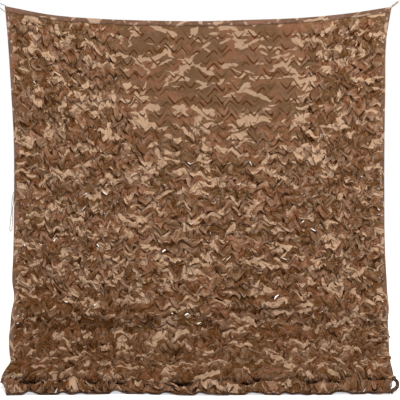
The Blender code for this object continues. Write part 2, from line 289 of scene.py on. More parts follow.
def ring_turns(route):
    """For each point of the route, the turn that faces a ring along the route there, without twist."""
    ways = [Vector(way).normalized() for way in np.gradient(route, axis=0)]
    turns = [ways[0].to_track_quat("Z", "Y")]
    for before, after in zip(ways, ways[1:]):
        turns.append(before.rotation_difference(after) @ turns[-1])
    return turns


def extruded(bm, ring):
    """A copy of the ring of corners, joined to it by a row of faces."""
    near = dict.fromkeys(edge for vertex in ring for edge in vertex.link_edges)
    edges = [edge for edge in near if all(v in ring for v in edge.verts)]
    made = bmesh.ops.extrude_edge_only(bm, edges=edges)["geom"]
    return [part for part in made if isinstance(part, bmesh.types.BMVert)]


def make_tube(name, route, thick, material, sides=10, closed=False):
    """A tube along the route, whose map is its flat size: round it, and along it."""
    bm = bmesh.new()
    around = bm.verts.layers.int.new("around")
    ring = bmesh.ops.create_circle(bm, cap_ends=False, segments=sides, radius=thick / 2)["verts"]
    for index, vertex in enumerate(ring):
        vertex[around] = index
    flat = [vertex.co.copy() for vertex in ring]
    place_of = {}
    for row, (place, turn) in enumerate(zip(route, ring_turns(route))):
        ring = extruded(bm, ring) if row else ring
        size = END_ROUNDING if row in (0, len(route) - 1) and not closed else 1
        for vertex in ring:
            vertex.co = Vector(place) + turn @ (flat[vertex[around]] * size)
            place_of[vertex] = (vertex[around], row)
    along = distances(route)
    uv = bm.loops.layers.uv.new("UVMap")
    for face in bm.faces:
        indices = [place_of[v][0] for v in face.verts]
        wraps = max(indices) - min(indices) > 1
        for loop in face.loops:
            index, row = place_of[loop.vert]
            index += sides if wraps and index == 0 else 0
            loop[uv].uv = (index / sides * math.pi * thick, along[row])
    bmesh.ops.holes_fill(bm, edges=bm.edges, sides=sides)
    bmesh.ops.recalc_face_normals(bm, faces=bm.faces)
    return finish_mesh(name, bm, material)


# %% [markdown]
# ## Ways to add shader nodes
# The finishes below are made of many small nodes. A wrapper round a node tree keeps each of them to one
# line: an input is given as a value, or as the output to link from. An effect that is used more than
# once, or that has a name of its own, becomes a node group with named inputs and outputs.

# %% A wrapper for node trees
class Tree:
    def __init__(self, node_tree):
        self.nodes, self.link = node_tree.nodes, node_tree.links.new

    def node(self, kind, inputs=None, **settings):
        made = self.nodes.new("ShaderNode" + kind)
        for name, value in settings.items():
            setattr(made, name, value)
        for name, value in (inputs or {}).items():
            if isinstance(value, bpy.types.NodeSocket):
                self.link(value, made.inputs[name])
            else:
                made.inputs[name].default_value = value
        return made

    def math(self, operation, *values):
        return self.node("Math", dict(enumerate(values)), operation=operation).outputs[0]

    def times(self, one, other):
        return self.math("MULTIPLY", one, other)

    def ramp(self, value, low, high):
        """0 below low, 1 above high, and an even curve between."""
        given = {"Value": value, "From Min": low, "From Max": high}
        return self.node("MapRange", given, interpolation_type="SMOOTHSTEP").outputs["Result"]

    def mix(self, share, *colors):
        first, second = (c if isinstance(c, bpy.types.NodeSocket) else (*c, 1) for c in colors)
        return self.node("Mix", {"Factor": share, 6: first, 7: second}, data_type="RGBA").outputs[2]

    def noise(self, place, scale, detail, roughness=0.5, distortion=0.0):
        return self.node("TexNoise", {"Vector": place, "Scale": scale, "Detail": detail,
                                      "Roughness": roughness, "Distortion": distortion}).outputs

    def cells(self, place, scale, channel, **settings):
        """A random number for each cell of a broken pattern."""
        cells = self.node("TexVoronoi", {"Vector": place, "Scale": scale}, **settings)
        return self.node("SeparateColor", {"Color": cells.outputs["Color"]}).outputs[channel]

    def turned(self, place, turn, shift, scale):
        """The place on the flat cloth, turned, shifted and then stretched."""
        laid = self.node("Mapping", {"Vector": place, "Rotation": (0, 0, turn),
                                     "Location": (shift, shift, 0)}).outputs[0]
        return self.node("Mapping", {"Vector": laid, "Scale": (*scale, 1)}).outputs[0]

    def bent(self, place, scale, amount):
        """The place on the flat cloth, pushed about by noise, so that straight edges bend."""
        noise = self.noise(place, scale, 2.0, 0.6)["Color"]
        centred = self.node("VectorMath", {0: noise, 1: (0.5, 0.5, 0.5)}, operation="SUBTRACT")
        push = self.node("VectorMath", {0: centred.outputs[0], "Scale": amount}, operation="SCALE")
        return self.node("VectorMath", {0: place, 1: push.outputs[0]}, operation="ADD").outputs[0]

    def attribute(self, name):
        return self.node("Attribute", attribute_name=name).outputs["Fac"]


# %% New node groups and materials
def new_group(name, takes, gives):
    """A node group. takes has each input's default, or None for a vector. gives names the outputs."""
    group = bpy.data.node_groups.new(name, "ShaderNodeTree")
    for label, default in takes.items():
        kind = {type(None): "Vector", float: "Float", tuple: "Color"}[type(default)]
        socket = group.interface.new_socket(name=label, in_out="INPUT", socket_type="NodeSocket" + kind)
        if default is not None:
            socket.default_value = default
    for label in gives:
        kind = "Color" if label == "Color" else "Float"
        group.interface.new_socket(name=label, in_out="OUTPUT", socket_type="NodeSocket" + kind)
    tree = Tree(group)
    return group, tree, tree.nodes.new("NodeGroupInput").outputs, tree.nodes.new("NodeGroupOutput").inputs


def new_material(name, roughness):
    made = bpy.data.materials.new(name)
    made.use_nodes = True
    shader = made.node_tree.nodes["Principled BSDF"].inputs
    shader["Roughness"].default_value = roughness
    return made, Tree(made.node_tree), shader


# %% [markdown]
# A braid is many fine strands that cross. At this size it is two sets of slanting waves on the cord's own
# map, one leaning each way. They make a bump, and shade is painted into the grooves between strands.

# %% The braid, and the cords' materials
def make_braid_group():
    group, tree, given, result = new_group("braid", {"Vector": None, "Strand": 0.0012}, ["Height"])
    split = tree.node("SeparateXYZ", {"Vector": given["Vector"]}).outputs
    strands = []
    for sign in (1, -1):
        slanted = tree.math("MULTIPLY_ADD", split["X"], sign, split["Y"])
        turns = tree.math("DIVIDE", slanted, given["Strand"])
        strands.append(tree.math("ABSOLUTE", tree.math("SINE", tree.times(turns, math.pi))))
    tree.link(tree.math("MAXIMUM", *strands), result["Height"])
    return group


BRAID = make_braid_group()


def make_cord_material(name, color, dark):
    made, tree, shader = new_material(name, 0.8)
    where = tree.node("TexCoord").outputs
    braid = tree.node("Group", {"Vector": where["UV"]}, node_tree=BRAID).outputs["Height"]
    grime = tree.noise(where["Object"], 90, 3)["Fac"]
    bump = tree.node("Bump", {"Strength": 0.6, "Distance": 0.0004, "Height": braid})
    # Painted shade in the grooves between strands, mixed with patches of grime.
    tree.link(tree.mix(tree.times(braid, grime), dark, color), shader["Base Color"])
    tree.link(bump.outputs["Normal"], shader["Normal"])
    shader["Sheen Weight"].default_value = 0.15
    return made


GREY_CORD = make_cord_material("grey_braid", (0.30, 0.25, 0.22), (0.08, 0.06, 0.05))
PALE_CORD = make_cord_material("pale_braid", (0.42, 0.34, 0.27), (0.17, 0.13, 0.10))
print("cord materials:", GREY_CORD.name, PALE_CORD.name)

# %% [markdown]
# The left-hand tie is one cord, doubled: its two strands leave the corner a little apart and meet in a
# knot. The knot is a trefoil, the simplest that holds.

# %% The left tie
LEFT_CORD = 0.004
KNOT_SIZE = 0.016
KNOT_PLACE = above_floor(-1.074, 0.0, 1.981)
PIECE_GAP = 0.0003
STRAND_SHIFT = 0.0022  # of each strand's end, before or behind the knot's middle
STRAND_SAG = 0.002


def dress(piece, part):
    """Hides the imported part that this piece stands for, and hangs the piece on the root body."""
    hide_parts(part)
    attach(piece, "root")


def dress_cord(piece, part, slot, route, thick, **says):
    dress(piece, part)
    print(part, "is", round(length_of(route) * 1000), "mm long")


def make_knot(name, place, size, thick, material):
    """A trefoil of cord, which fills a ball of this size."""
    turns = np.linspace(0, 2 * math.pi, 49)
    reach = (size - thick) / 2 / 3
    x = np.sin(turns) + 2 * np.sin(2 * turns)
    y = np.cos(turns) - 2 * np.cos(2 * turns)
    z = -1.6 * np.sin(3 * turns)
    route = place + reach * np.stack([x, z, y], axis=-1)
    return make_tube(name, route, thick, material, closed=True)


knot = make_knot("knot", KNOT_PLACE, KNOT_SIZE, LEFT_CORD * 0.9, GREY_CORD)
dress(knot, "tie_left_knot")
seat = LEFT_CORD / 2 + PIECE_GAP
LEFT_STARTS = {
    "tie_left_upper": (hung(0.006 - HALF, -seat), -STRAND_SHIFT),
    "tie_left_lower": (hung(-HALF - seat, 0.030), STRAND_SHIFT),
}
for part, (start, behind) in LEFT_STARTS.items():
    target = KNOT_PLACE + np.array([0, behind, 0])
    way = (target - start) / np.linalg.norm(target - start)
    end = target - way * (KNOT_SIZE / 2 + PIECE_GAP)
    middle = (start + end) / 2 - np.array([0, 0, STRAND_SAG])
    route = curve_through([start, middle, end], LEFT_CORD)
    strand = make_tube(part + "_cord", route, LEFT_CORD, GREY_CORD)
    dress_cord(strand, part, "grey_cord", route, LEFT_CORD, far_end="knot", stiffness="limp", lay="taut",
               with_pieces=[knot])

# %% [markdown]
# The right-hand tie ends in two free ends side by side, drawn up and out from the corner.

# %% The right tie
RIGHT_CORD = 0.005
RIGHT_TIE_LENGTH = 0.044
RIGHT_TIE_WAY = np.array([0.79, 0.0, 0.61]) / np.linalg.norm([0.79, 0.0, 0.61])

side_way = np.array([-RIGHT_TIE_WAY[2], 0, RIGHT_TIE_WAY[0]])
apart = (RIGHT_CORD + PIECE_GAP) / 2
for part, sideways in (("tie_right_upper", apart), ("tie_right_lower", -apart)):
    start = hung(HALF, 0.0) + side_way * sideways + RIGHT_TIE_WAY * 2 * PIECE_GAP
    route = np.linspace(start, start + RIGHT_TIE_WAY * RIGHT_TIE_LENGTH, 12)
    strand = make_tube(part + "_cord", route, RIGHT_CORD, PALE_CORD)
    dress_cord(strand, part, "pale_cord", route, RIGHT_CORD, far_end="bare", stiffness="medium", lay="taut")

# %% [markdown]
# A thin cord is drawn through the left edge and hangs down beside it in a narrow loop. Its points are
# given by how far they lie outside the net's edge, how far in front of it, and their height.

# %% The side loop
LOOP_CORD = 0.003
LoopPoint = namedtuple("LoopPoint", "outside forward height")
SIDE_LOOP = [LoopPoint(*row) for row in (
    (0.0018, 0.000, 0.981),
    (0.0060, 0.001, 0.962),
    (0.0105, 0.003, 0.925),
    (0.0100, 0.005, 0.888),
    (0.0145, 0.004, 0.850),
    (0.0190, 0.002, 0.805),
    (0.0195, 0.001, 0.786),
    (0.0155, 0.000, 0.778),
    (0.0110, -0.001, 0.786),
    (0.0085, -0.002, 0.805),
    (0.0070, -0.002, 0.850),
    (0.0085, 0.000, 0.888),
    (0.0035, -0.003, 0.925),
    (0.0030, -0.005, 0.945),
    (0.0018, -0.006, 0.962),
)]

turns_out = []
for point in SIDE_LOOP:
    edge = hung(-HALF, HANG_HEIGHT + TOP_EDGE[0].rise * point.height / HANG_HEIGHT - point.height)
    x, y = edge[0] - point.outside - PIECE_GAP, edge[1] - point.forward
    turns_out.append((x, y, point.height - HANG_HEIGHT))
route = curve_through(turns_out, LOOP_CORD)
side_loop = make_tube("side_loop_cord", route, LOOP_CORD, GREY_CORD, sides=8)
dress_cord(side_loop, "side_loop", "grey_cord", route, LOOP_CORD, far_end="object", stiffness="limp",
           lay="hanging")

# %% [markdown]
# ## The printed cloth
# Real netting of this kind is printed in four colours before it is cut: a brown ground, red-brown
# clouds, a haze between the two, and narrow sand-coloured flecks. The print is an ordinary one, made
# from noise, and its map is the flat cloth in metres, so that each curled leaf carries its own piece of
# it. Slow noise, cut at a level, makes the clouds and the haze. The flecks are of two kinds: splinters,
# which are a few cells of a stretched Voronoi pattern, and strokes, which follow the level line of a
# noise and swell and end in points where a second noise allows. Where there is a fleck, less of the
# painted shade of folds, creases, facets and leaves is laid on: the output "Plain" says where.

# %% The weave and the print as node groups
# Clouds and haze: turn, shift, patches for each metre, and the levels between which the ink sets in
CLOUDS = ((0.4, 2.0, (6.0, 9.0), 0.495, 0.525), (-0.5, 7.0, (8.0, 11.0), 0.545, 0.585))
# Splinters that slant one way, the other, and across: turn, shift, cells for each metre, share printed
SPLINTERS = ((0.45, 0.0, (14, 40), 0.022), (-0.60, 5.3, (15, 44), 0.022), (1.2, 3.3, (18, 34), 0.016))
# Strokes: turn, shift, waves for each metre, greatest width
STROKES = ((0.45, 1.7, (9, 20), 1.1), (-0.55, 6.1, (9, 22), 1.1), (0.0, 4.4, (8, 22), 0.9))
# A fleck keeps part of the painted shade of folds, creases, facets and leaves off itself.
SHADE_OFF_FLECKS = -0.65  # by how much a fleck keeps folds from showing
PLAIN_BROWN = (0.1, 0.06, 0.03, 1)


def make_weave_group():
    group, tree, given, result = new_group("weave", {"Vector": None, "Threads per metre": 900.0}, ["Height"])
    split = tree.node("SeparateXYZ", {"Vector": given["Vector"]}).outputs
    turns = [tree.times(split[axis], given["Threads per metre"]) for axis in ("X", "Y")]
    threads = [tree.math("ABSOLUTE", tree.math("SINE", turn)) for turn in turns]
    tree.link(tree.times(*threads), result["Height"])
    return group


def splinters(tree, place, turn, shift, scale, share):
    pick = tree.cells(tree.turned(place, turn, shift, scale), 1.0, "Red", distance="MANHATTAN")
    return tree.ramp(pick, 1 - share, 1 - share + 0.002)


def strokes(tree, place, turn, shift, scale, widest):
    course = tree.noise(tree.turned(place, turn, shift, scale), 1.0, 2.0, 0.5, 0.3)["Fac"]
    swell = tree.noise(tree.turned(place, turn, shift + 20, scale), 0.8, 1.0)["Fac"]
    wide = tree.times(tree.math("SUBTRACT", swell, 0.60), widest)
    off = tree.math("ABSOLUTE", tree.math("SUBTRACT", course, 0.5))
    return tree.ramp(tree.math("SUBTRACT", wide, off), 0.0, 0.006)


def make_print_group():
    """Four colours over the flat cloth."""
    inks = ("Ground", "Clouds", "Haze", "Flecks")
    group, tree, given, result = new_group(
        "camouflage print", {"Vector": None, **dict.fromkeys(inks, PLAIN_BROWN)}, ["Color", "Plain"])
    place = given["Vector"]
    masks = []
    for turn, shift, scale, low, high in CLOUDS:
        noise = tree.noise(tree.turned(place, turn, shift, scale), 1.0, 4.0, 0.55, 0.8)["Fac"]
        masks.append(tree.ramp(noise, low, high))
    bent = tree.bent(place, 14.0, 0.07)
    flecks = [splinters(tree, bent, *splinter) for splinter in SPLINTERS]
    flecks += [strokes(tree, place, *stroke) for stroke in STROKES]
    fleck = flecks[0]
    for other in flecks[1:]:
        fleck = tree.math("MAXIMUM", fleck, other)
    color = given["Ground"]
    for mask, ink in zip((*masks, fleck), inks[1:]):
        color = tree.mix(mask, color, given[ink])
    tree.link(color, result["Color"])
    tree.link(tree.math("MULTIPLY_ADD", fleck, SHADE_OFF_FLECKS, 1.0), result["Plain"])
    return group


# %% [markdown]
# Netting is stuffed into a bag when it isn't in use, and comes out crumpled in small flat facets with
# sharp folds between them. They are far too many to model, so they are a height for a Bump node. Light
# alone shows them weakly, so light and shade are painted on too: each facet, and each finer shard of it,
# is painted lighter or darker, and the folds between them have a mask for painted shade.

# %% The crumpling as a node group
SHARD_SHARE = 0.8  # how much the smallest facets differ, against the larger ones
SHARDS_PER_FACET = 2.2  # along a side


def make_crumple_group():
    group, tree, given, result = new_group(
        "crumple", {"Vector": None, "Facets per metre": 48.0, "Amount": 1.0}, ["Height", "Folds", "Tone"])
    bent = tree.bent(given["Vector"], 30.0, 0.006)
    facets, amount = given["Facets per metre"], given["Amount"]
    rims = tree.node("TexVoronoi", {"Vector": bent, "Scale": facets}, feature="DISTANCE_TO_EDGE")
    rims = rims.outputs["Distance"]
    patches = tree.noise(given["Vector"], 22.0, 1.0)["Fac"]
    # A mask for painted shade in the folds between facets, in patches.
    folds = tree.math("SUBTRACT", 1.0, tree.ramp(rims, 0.02, 0.10))
    folds = tree.times(folds, tree.ramp(patches, 0.42, 0.58))
    # Each facet and shard gets a random value: above nought it paints light, below nought shade.
    facet = tree.cells(bent, facets, "Green")
    shard = tree.cells(bent, tree.times(facets, SHARDS_PER_FACET), "Red")
    random = tree.math("MULTIPLY_ADD", shard, SHARD_SHARE, facet)
    random = tree.math("SUBTRACT", random, 0.5 + SHARD_SHARE / 2)
    for name, value in (("Height", rims), ("Folds", folds), ("Tone", random)):
        tree.link(tree.times(value, amount), result[name])
    return group


WEAVE = make_weave_group()
PRINT = make_print_group()
CRUMPLE = make_crumple_group()
print("node groups:", ", ".join(group.name for group in (WEAVE, PRINT, CRUMPLE)))

# %% [markdown]
# The cut cloth reads five attributes of the net's points, which are made further down:
#
# - "crease": how deep in a fold the point lies, with soft shade below each slit and more low on the
#   left. Light goes back and forth there, so shade is painted on, dark and warm.
# - "tuck": the lip of a slit that lies behind the other one, in its shade, painted on as a dark line.
# - the rim: the lip in front. Its cut edge shows the pale yarn, and a highlight is painted on it
#   where it catches the light.
# - the lip shading: one value for each lip of cloth. Each leaf meets the light in its own way, and is
#   painted lighter or darker for it.
# - "loose": how slack the net hangs. Drawn flat, the cloth is smooth, with a little painted shade.
#
# With each of them, painted light and shade is mixed into the print.

# %% Colours of the cloth
GROUND_BROWN = (0.116, 0.063, 0.029)
CLOUD_BROWN = (0.187, 0.085, 0.044)
HAZE_BROWN = (0.143, 0.074, 0.041)
FLECK_SAND = (0.412, 0.275, 0.182)
NET_COLORS = (GROUND_BROWN, CLOUD_BROWN, HAZE_BROWN, FLECK_SAND)
STRIP_COLORS = ((0.105, 0.058, 0.036), (0.150, 0.078, 0.054), (0.125, 0.072, 0.052), (0.30, 0.205, 0.145))
# The binding's colours with shade painted in, for the foot's binding and the corner tape.
SHADED_COLORS = ((0.040, 0.024, 0.018), (0.070, 0.042, 0.034), (0.055, 0.034, 0.027), (0.11, 0.072, 0.056))
BACK_TINT = (0.33, 0.22, 0.17)  # the print is paler on the back
# Painted light and shade: warm shade in folds, creases and dark facets, a highlight colour for lit facets and
# front lips, dark shade in slits, and shade where the cloth is drawn flat.
WARM_SHADE = (0.080, 0.026, 0.003)
HIGHLIGHT_TINT = (0.32, 0.21, 0.15)
SLIT_SHADE = (0.060, 0.016, 0.001)
TAUT_SHADE_TINT, TAUT_SHADE = (0.066, 0.037, 0.022), 0.44
FACET_PALE, FACET_DARK, FOLD_SHADE = 0.75, -0.90, 0.42
LEAF_PALE, LEAF_DARK, BACK_SHARE, RIM_SHARE = 0.35, -0.60, 0.45, 0.45
TUCK_TAUT, TUCK_LOOSE = 0.88, 0.64
print("the net's four colours:", *NET_COLORS)


# %% The cloth materials
def paint_light_and_shade(tree, color, plain, where):
    """The printed colour with painted shade and highlights on it, and the normal of its crumpled surface."""
    loose = tree.attribute("loose")
    crumple = tree.node("Group", {"Vector": where, "Amount": loose}, node_tree=CRUMPLE).outputs
    bump = tree.node("Bump", {"Strength": 1.0, "Distance": 0.014, "Height": crumple["Height"]})

    # Above nought a value paints a highlight, below nought warm shade, which flecks keep partly off.
    def toned(color, tone, pale, dark):
        color = tree.mix(tree.times(tree.math("MAXIMUM", tone, 0.0), pale), color, HIGHLIGHT_TINT)
        fall = tree.times(tree.math("MINIMUM", tone, 0.0), dark)
        return tree.mix(tree.times(fall, plain), color, WARM_SHADE)

    # Painted light and shade on the crumpled facets, and painted shade in the folds between them.
    color = toned(color, crumple["Tone"], FACET_PALE, FACET_DARK)
    color = tree.mix(tree.times(tree.times(crumple["Folds"], FOLD_SHADE), plain), color, WARM_SHADE)
    back = tree.node("NewGeometry").outputs["Backfacing"]
    color = tree.mix(tree.times(back, BACK_SHARE), color, BACK_TINT)
    # Each lip of cloth painted lighter or darker, for how its leaf meets the light.
    color = toned(color, tree.attribute("tone"), LEAF_PALE, LEAF_DARK)
    # A painted highlight along the cut edge of the lip in front, where it catches the light.
    rim = tree.times(tree.ramp(tree.attribute("rim"), 0.70, 0.95), RIM_SHARE)
    color = tree.mix(rim, color, HIGHLIGHT_TINT)
    # Painted warm shade in deep folds and creases, below the slits and low on the left.
    color = tree.mix(tree.times(tree.attribute("crease"), plain), color, WARM_SHADE)
    # Painted shade where the cloth is drawn flat.
    color = tree.mix(tree.math("MULTIPLY_ADD", loose, -TAUT_SHADE, TAUT_SHADE), color, TAUT_SHADE_TINT)
    # Painted dark shade along each slit, in the lip that lies behind, less where the net hangs loose.
    darkest = tree.math("MULTIPLY_ADD", loose, TUCK_LOOSE - TUCK_TAUT, TUCK_TAUT)
    color = tree.mix(tree.times(tree.ramp(tree.attribute("tuck"), 0.10, 0.26), darkest), color, SLIT_SHADE)
    return color, bump.outputs["Normal"]


def make_cloth_material(name, colors, cut=False, finer=1.0):
    made, tree, shader = new_material(name, 0.85)
    where = tree.node("TexCoord").outputs["UV"]
    closer = tree.node("Mapping", {"Vector": where, "Scale": (finer, finer, finer)}).outputs[0]
    inks = {ink: (*color, 1) for ink, color in zip(("Ground", "Clouds", "Haze", "Flecks"), colors)}
    printed = tree.node("Group", {"Vector": closer, **inks}, node_tree=PRINT).outputs
    weave = tree.node("Group", {"Vector": where}, node_tree=WEAVE).outputs["Height"]
    bump = tree.node("Bump", {"Strength": 0.25, "Distance": 0.0004, "Height": weave})
    color = printed["Color"]
    if cut:
        color, normal = paint_light_and_shade(tree, color, printed["Plain"], where)
        tree.link(normal, bump.inputs["Normal"])
    tree.link(color, shader["Base Color"])
    tree.link(bump.outputs["Normal"], shader["Normal"])
    shader["Specular IOR Level"].default_value = 0.05
    return made


PRINTED = make_cloth_material("printed_netting", NET_COLORS, cut=True)
BOUND = make_cloth_material("strip_cloth", STRIP_COLORS, finer=1.6)
# The binding's cloth with the heap's shade painted in.
SHADED_CLOTH = make_cloth_material("shaded_cloth", SHADED_COLORS, finer=2.5)
print("cloth materials:", PRINTED.name, BOUND.name, SHADED_CLOTH.name)

# %% [markdown]
# ## The net
# The net starts as a flat grid. All its lines across run in the same zigzag, down at one column and up
# at the next. Every fourth line is cut, by turns at its low points, which gives Vs, and at its high
# points, which gives their opposite. A cut is made by splitting the edges along it, which gives it two
# lips. The net is hung shorter than it was cut, so there is spare cloth everywhere: a little in the
# middle of the top, which is drawn almost flat, and much at the sides and below.

# %% Sizes of the die
PITCHES = 28  # Vs across the net
COLUMNS_PER_PITCH = 10
LINES_DOWN = 350
LINES_PER_CUT = 4
FIRST_CUT = 6
LEAST_LEFT_OVER = 6  # lines or columns that stay whole at the far edges
ZIGZAG = 0.020  # half the height of the zigzag
SLIT_LEFT, SLIT_RIGHT = 4, 3  # columns that a slit runs to the left and right of its point
BINDING_WIDTH = 0.025
HIDDEN_EDGE = 0.0024  # the net's own edge lies this far inside the binding
CUT_LENGTH = 3.0
TAUT_MIDDLE = 0.09  # the middle of the flat part, which lies a little to the right
CROWDED_SIDES, CROWDED_BELOW = 0.45, 0.40  # how much closer the slits come where the net is slack
EDGE = HALF - BINDING_WIDTH
rng = np.random.default_rng(7)


def crowded_lines(first, last, count, density):
    """Lines from first to last, which lie closer together where the density is higher."""
    fine = np.linspace(first, last, 4001)
    so_far = np.concatenate([[0], np.cumsum(density(fine)[1:])])
    return np.interp(np.linspace(0, so_far[-1], count + 1), so_far, fine)


inner_across = crowded_lines(
    -EDGE, EDGE, PITCHES * COLUMNS_PER_PITCH,
    lambda across: 1 + CROWDED_SIDES * ramp(np.abs(across - TAUT_MIDDLE), 0.35, 0.65))
inner_down = crowded_lines(
    BINDING_WIDTH, NET_LENGTH - BINDING_WIDTH, LINES_DOWN,
    lambda down: 1 + CROWDED_BELOW * ramp(down, 0.5, 1.0))
across_lines = np.concatenate([[HIDDEN_EDGE - HALF], inner_across, [HALF - HIDDEN_EDGE]])
down_lines = np.concatenate([[HIDDEN_EDGE], inner_down, [NET_LENGTH - HIDDEN_EDGE]])
WIDE, LONG = len(across_lines), len(down_lines)
print(f"grid of {WIDE} by {LONG} points, {(WIDE - 1) * (LONG - 1) * 2} triangles")
spacing = LINES_PER_CUT * np.diff(inner_down)[[0, -1]] * 1000
print("cuts lie", spacing.round(1), "mm apart at the top and at the bottom")

# %% [markdown]
# Chance must look the same each time, and it must vary smoothly over the cloth. So one seeded generator
# draws the turn, rate and start of a few waves, and their sum is the field. `ripples` is such a field,
# and `swirls` is one of shifts, each at a right angle to its wave's way, which moves the cloth about
# without stretching it.

# %% How slack the net hangs, and fields of chance
def looseness(across, down):
    """0 where the net is drawn flat below the middle of its top edge, and 1 where it hangs slack."""
    sideways = np.maximum(0, np.abs(across - TAUT_MIDDLE) - 0.38) / 0.25
    below = np.maximum(0, down - 0.36) / 0.48
    return np.minimum(1, sideways + below)


def chance_waves(across, down, size, count):
    """Waves about this long, each with the turn of its way."""
    for turn in rng.uniform(0, 2 * math.pi, count):
        rate = 2 * math.pi / size * rng.uniform(0.7, 1.4)
        along = across * math.cos(turn) + down * math.sin(turn)
        yield np.sin(rate * along + rng.uniform(0, 6)), turn


def ripples(across, down, size):
    return sum(wave for wave, turn in chance_waves(across, down, size, 7)) / 2


def swirls(across, down, size):
    return sum(wave * np.array([[-math.sin(turn)], [math.cos(turn)]])
               for wave, turn in chance_waves(across, down, size, 9)) / 2


# %% Cut the slits
def new_grid(wide, long):
    """A grid of this many points across and along, numbered row by row."""
    made = bmesh.new()
    bmesh.ops.create_grid(made, x_segments=wide - 1, y_segments=long - 1, size=1)
    made.verts.ensure_lookup_table()
    return made


bm = new_grid(WIDE, LONG)
column_of = bm.verts.layers.int.new("column")
line_of = bm.verts.layers.int.new("line")
for number, vertex in enumerate(bm.verts):
    vertex[line_of], vertex[column_of] = divmod(number, WIDE)
bm.verts.ensure_lookup_table()

Slit = namedtuple("Slit", "line column first last")
slits, slit_edges = [], []
for number, line in enumerate(range(FIRST_CUT, LONG - LEAST_LEFT_OVER, LINES_PER_CUT)):
    start_column = 1 + (COLUMNS_PER_PITCH if number % 2 == 0 else COLUMNS_PER_PITCH // 2)
    for column in range(start_column, WIDE - LEAST_LEFT_OVER, COLUMNS_PER_PITCH):
        first = column - SLIT_LEFT - int(rng.integers(-1, 2))
        last = column + SLIT_RIGHT + int(rng.integers(-1, 2))
        slits.append(Slit(line, column, first, last))
        cut = [bm.verts[line * WIDE + k] for k in range(first, last + 1)]
        slit_edges += [bm.edges.get(ends) for ends in zip(cut, cut[1:])]
bmesh.ops.split_edges(bm, edges=slit_edges)
net_mesh = bpy.data.meshes.new("net")
bm.to_mesh(net_mesh)
bm.free()
COUNT = len(net_mesh.vertices)
print(len(slits), "slits;", COUNT, "points after the cuts")

# %% [markdown]
# From here on the mesh is arrays. A table says which point lies at each crossing of a line and a column,
# on the upper lip and on the lower lip. Where there is no cut the two are the same point.

# %% Read the cut grid into arrays
def read_numbers(items, field, size):
    values = np.zeros(len(items) * size, np.int32)
    items.foreach_get(field, values)
    return values.reshape(-1, size) if size > 1 else values


columns = read_numbers(net_mesh.attributes["column"].data, "value", 1)
lines = read_numbers(net_mesh.attributes["line"].data, "value", 1)
quads = read_numbers(net_mesh.polygons, "vertices", 4)
edges = read_numbers(net_mesh.edges, "vertices", 2)

face_line = lines[quads].mean(axis=1)
faces_above = np.bincount(quads.ravel(), (face_line[:, None] < lines[quads]).ravel(), COUNT)
lower_lip = (faces_above == 0) & (lines > 0)
point_at = np.zeros((LONG, WIDE, 2), np.int32)  # the point of the upper lip and of the lower lip
for side, chosen in ((0, ~lower_lip), (1, lower_lip)):
    point_at[lines[chosen], columns[chosen], side] = np.flatnonzero(chosen)
for side in (1, 0):
    empty = point_at[..., side] == 0
    point_at[empty, side] = point_at[empty, 1 - side]
print("points on lower lips:", int(lower_lip.sum()))

# %% [markdown]
# Each point starts on the hanging face, at its place in the zigzag. Where the net is slack it is moved
# a little: patches turn one way or the other, rows slip sideways past each other, and the cloth swells
# up and down. No net comes out of its bag in straight rows.

# %% Where each point starts
SWIRLS = ((0.0070, 0.13), (0.0045, 0.065))  # how far each moves the cloth, and its size
ROW_SLIP = (0.0080, 0.075)
SWELLS = ((0.0050, 0.048), (0.0025, 0.030))
SHARPNESS = 0.97  # of the zigzag's points
LEAST_FREE = 0.15  # how freely the taut part moves, against the loose part

turns = (np.arange(WIDE) - 1) / COLUMNS_PER_PITCH
zig = np.arcsin(SHARPNESS * np.cos(2 * np.pi * turns)) / math.asin(SHARPNESS)
down_share = ramp(down_lines, BINDING_WIDTH, 0.06)
down_share *= 1 - ramp(down_lines, NET_LENGTH - 0.06, NET_LENGTH - 0.026)
side_share = np.ones(WIDE)
side_share[[0, -1]] = 0
zigzag = ZIGZAG * zig[None, :] * down_share[:, None] * side_share[None, :]
flat_across = across_lines[columns]
flat_down = (down_lines[:, None] + zigzag)[lines, columns]
in_hand = ramp(1 - np.abs(flat_across), 0.026, 0.055) * ramp(flat_down, 0.03, 0.10)  # 0 where it is sewn down
in_hand *= ramp(NET_LENGTH - flat_down, 0.026, 0.045)
loose = looseness(flat_across, flat_down)
loose = np.clip(loose + 0.16 * (1 - loose) * ripples(flat_across, flat_down, 0.30), 0, 1)
free = in_hand * (LEAST_FREE + (1 - LEAST_FREE) * loose)
aside = sum(far * swirls(flat_across, flat_down, size) for far, size in SWIRLS)
aside[0] += ROW_SLIP[0] * ripples(flat_across / 4, flat_down, ROW_SLIP[1])
swell = loose * sum(far * ripples(flat_across, flat_down, size) for far, size in SWELLS)
flat = np.stack([flat_across, flat_down], 1)
start = np.stack([flat_across + free * aside[0], flat_down + free * aside[1], swell], axis=-1)
print("points start up to", round(float(np.abs(start[:, :2] - flat).max()) * 1000), "mm aside")

# %% [markdown]
# ### Leaves
# At each slit the cloth above hangs over the cloth below, like shingles, or now and then the other way
# round, and often with one arm of the V further out than the other. On the heap's slope, which faces up,
# the lower lip always lies on top. One function draws these chances for a slit, and another lays them
# out over three lines of points on either side of it.

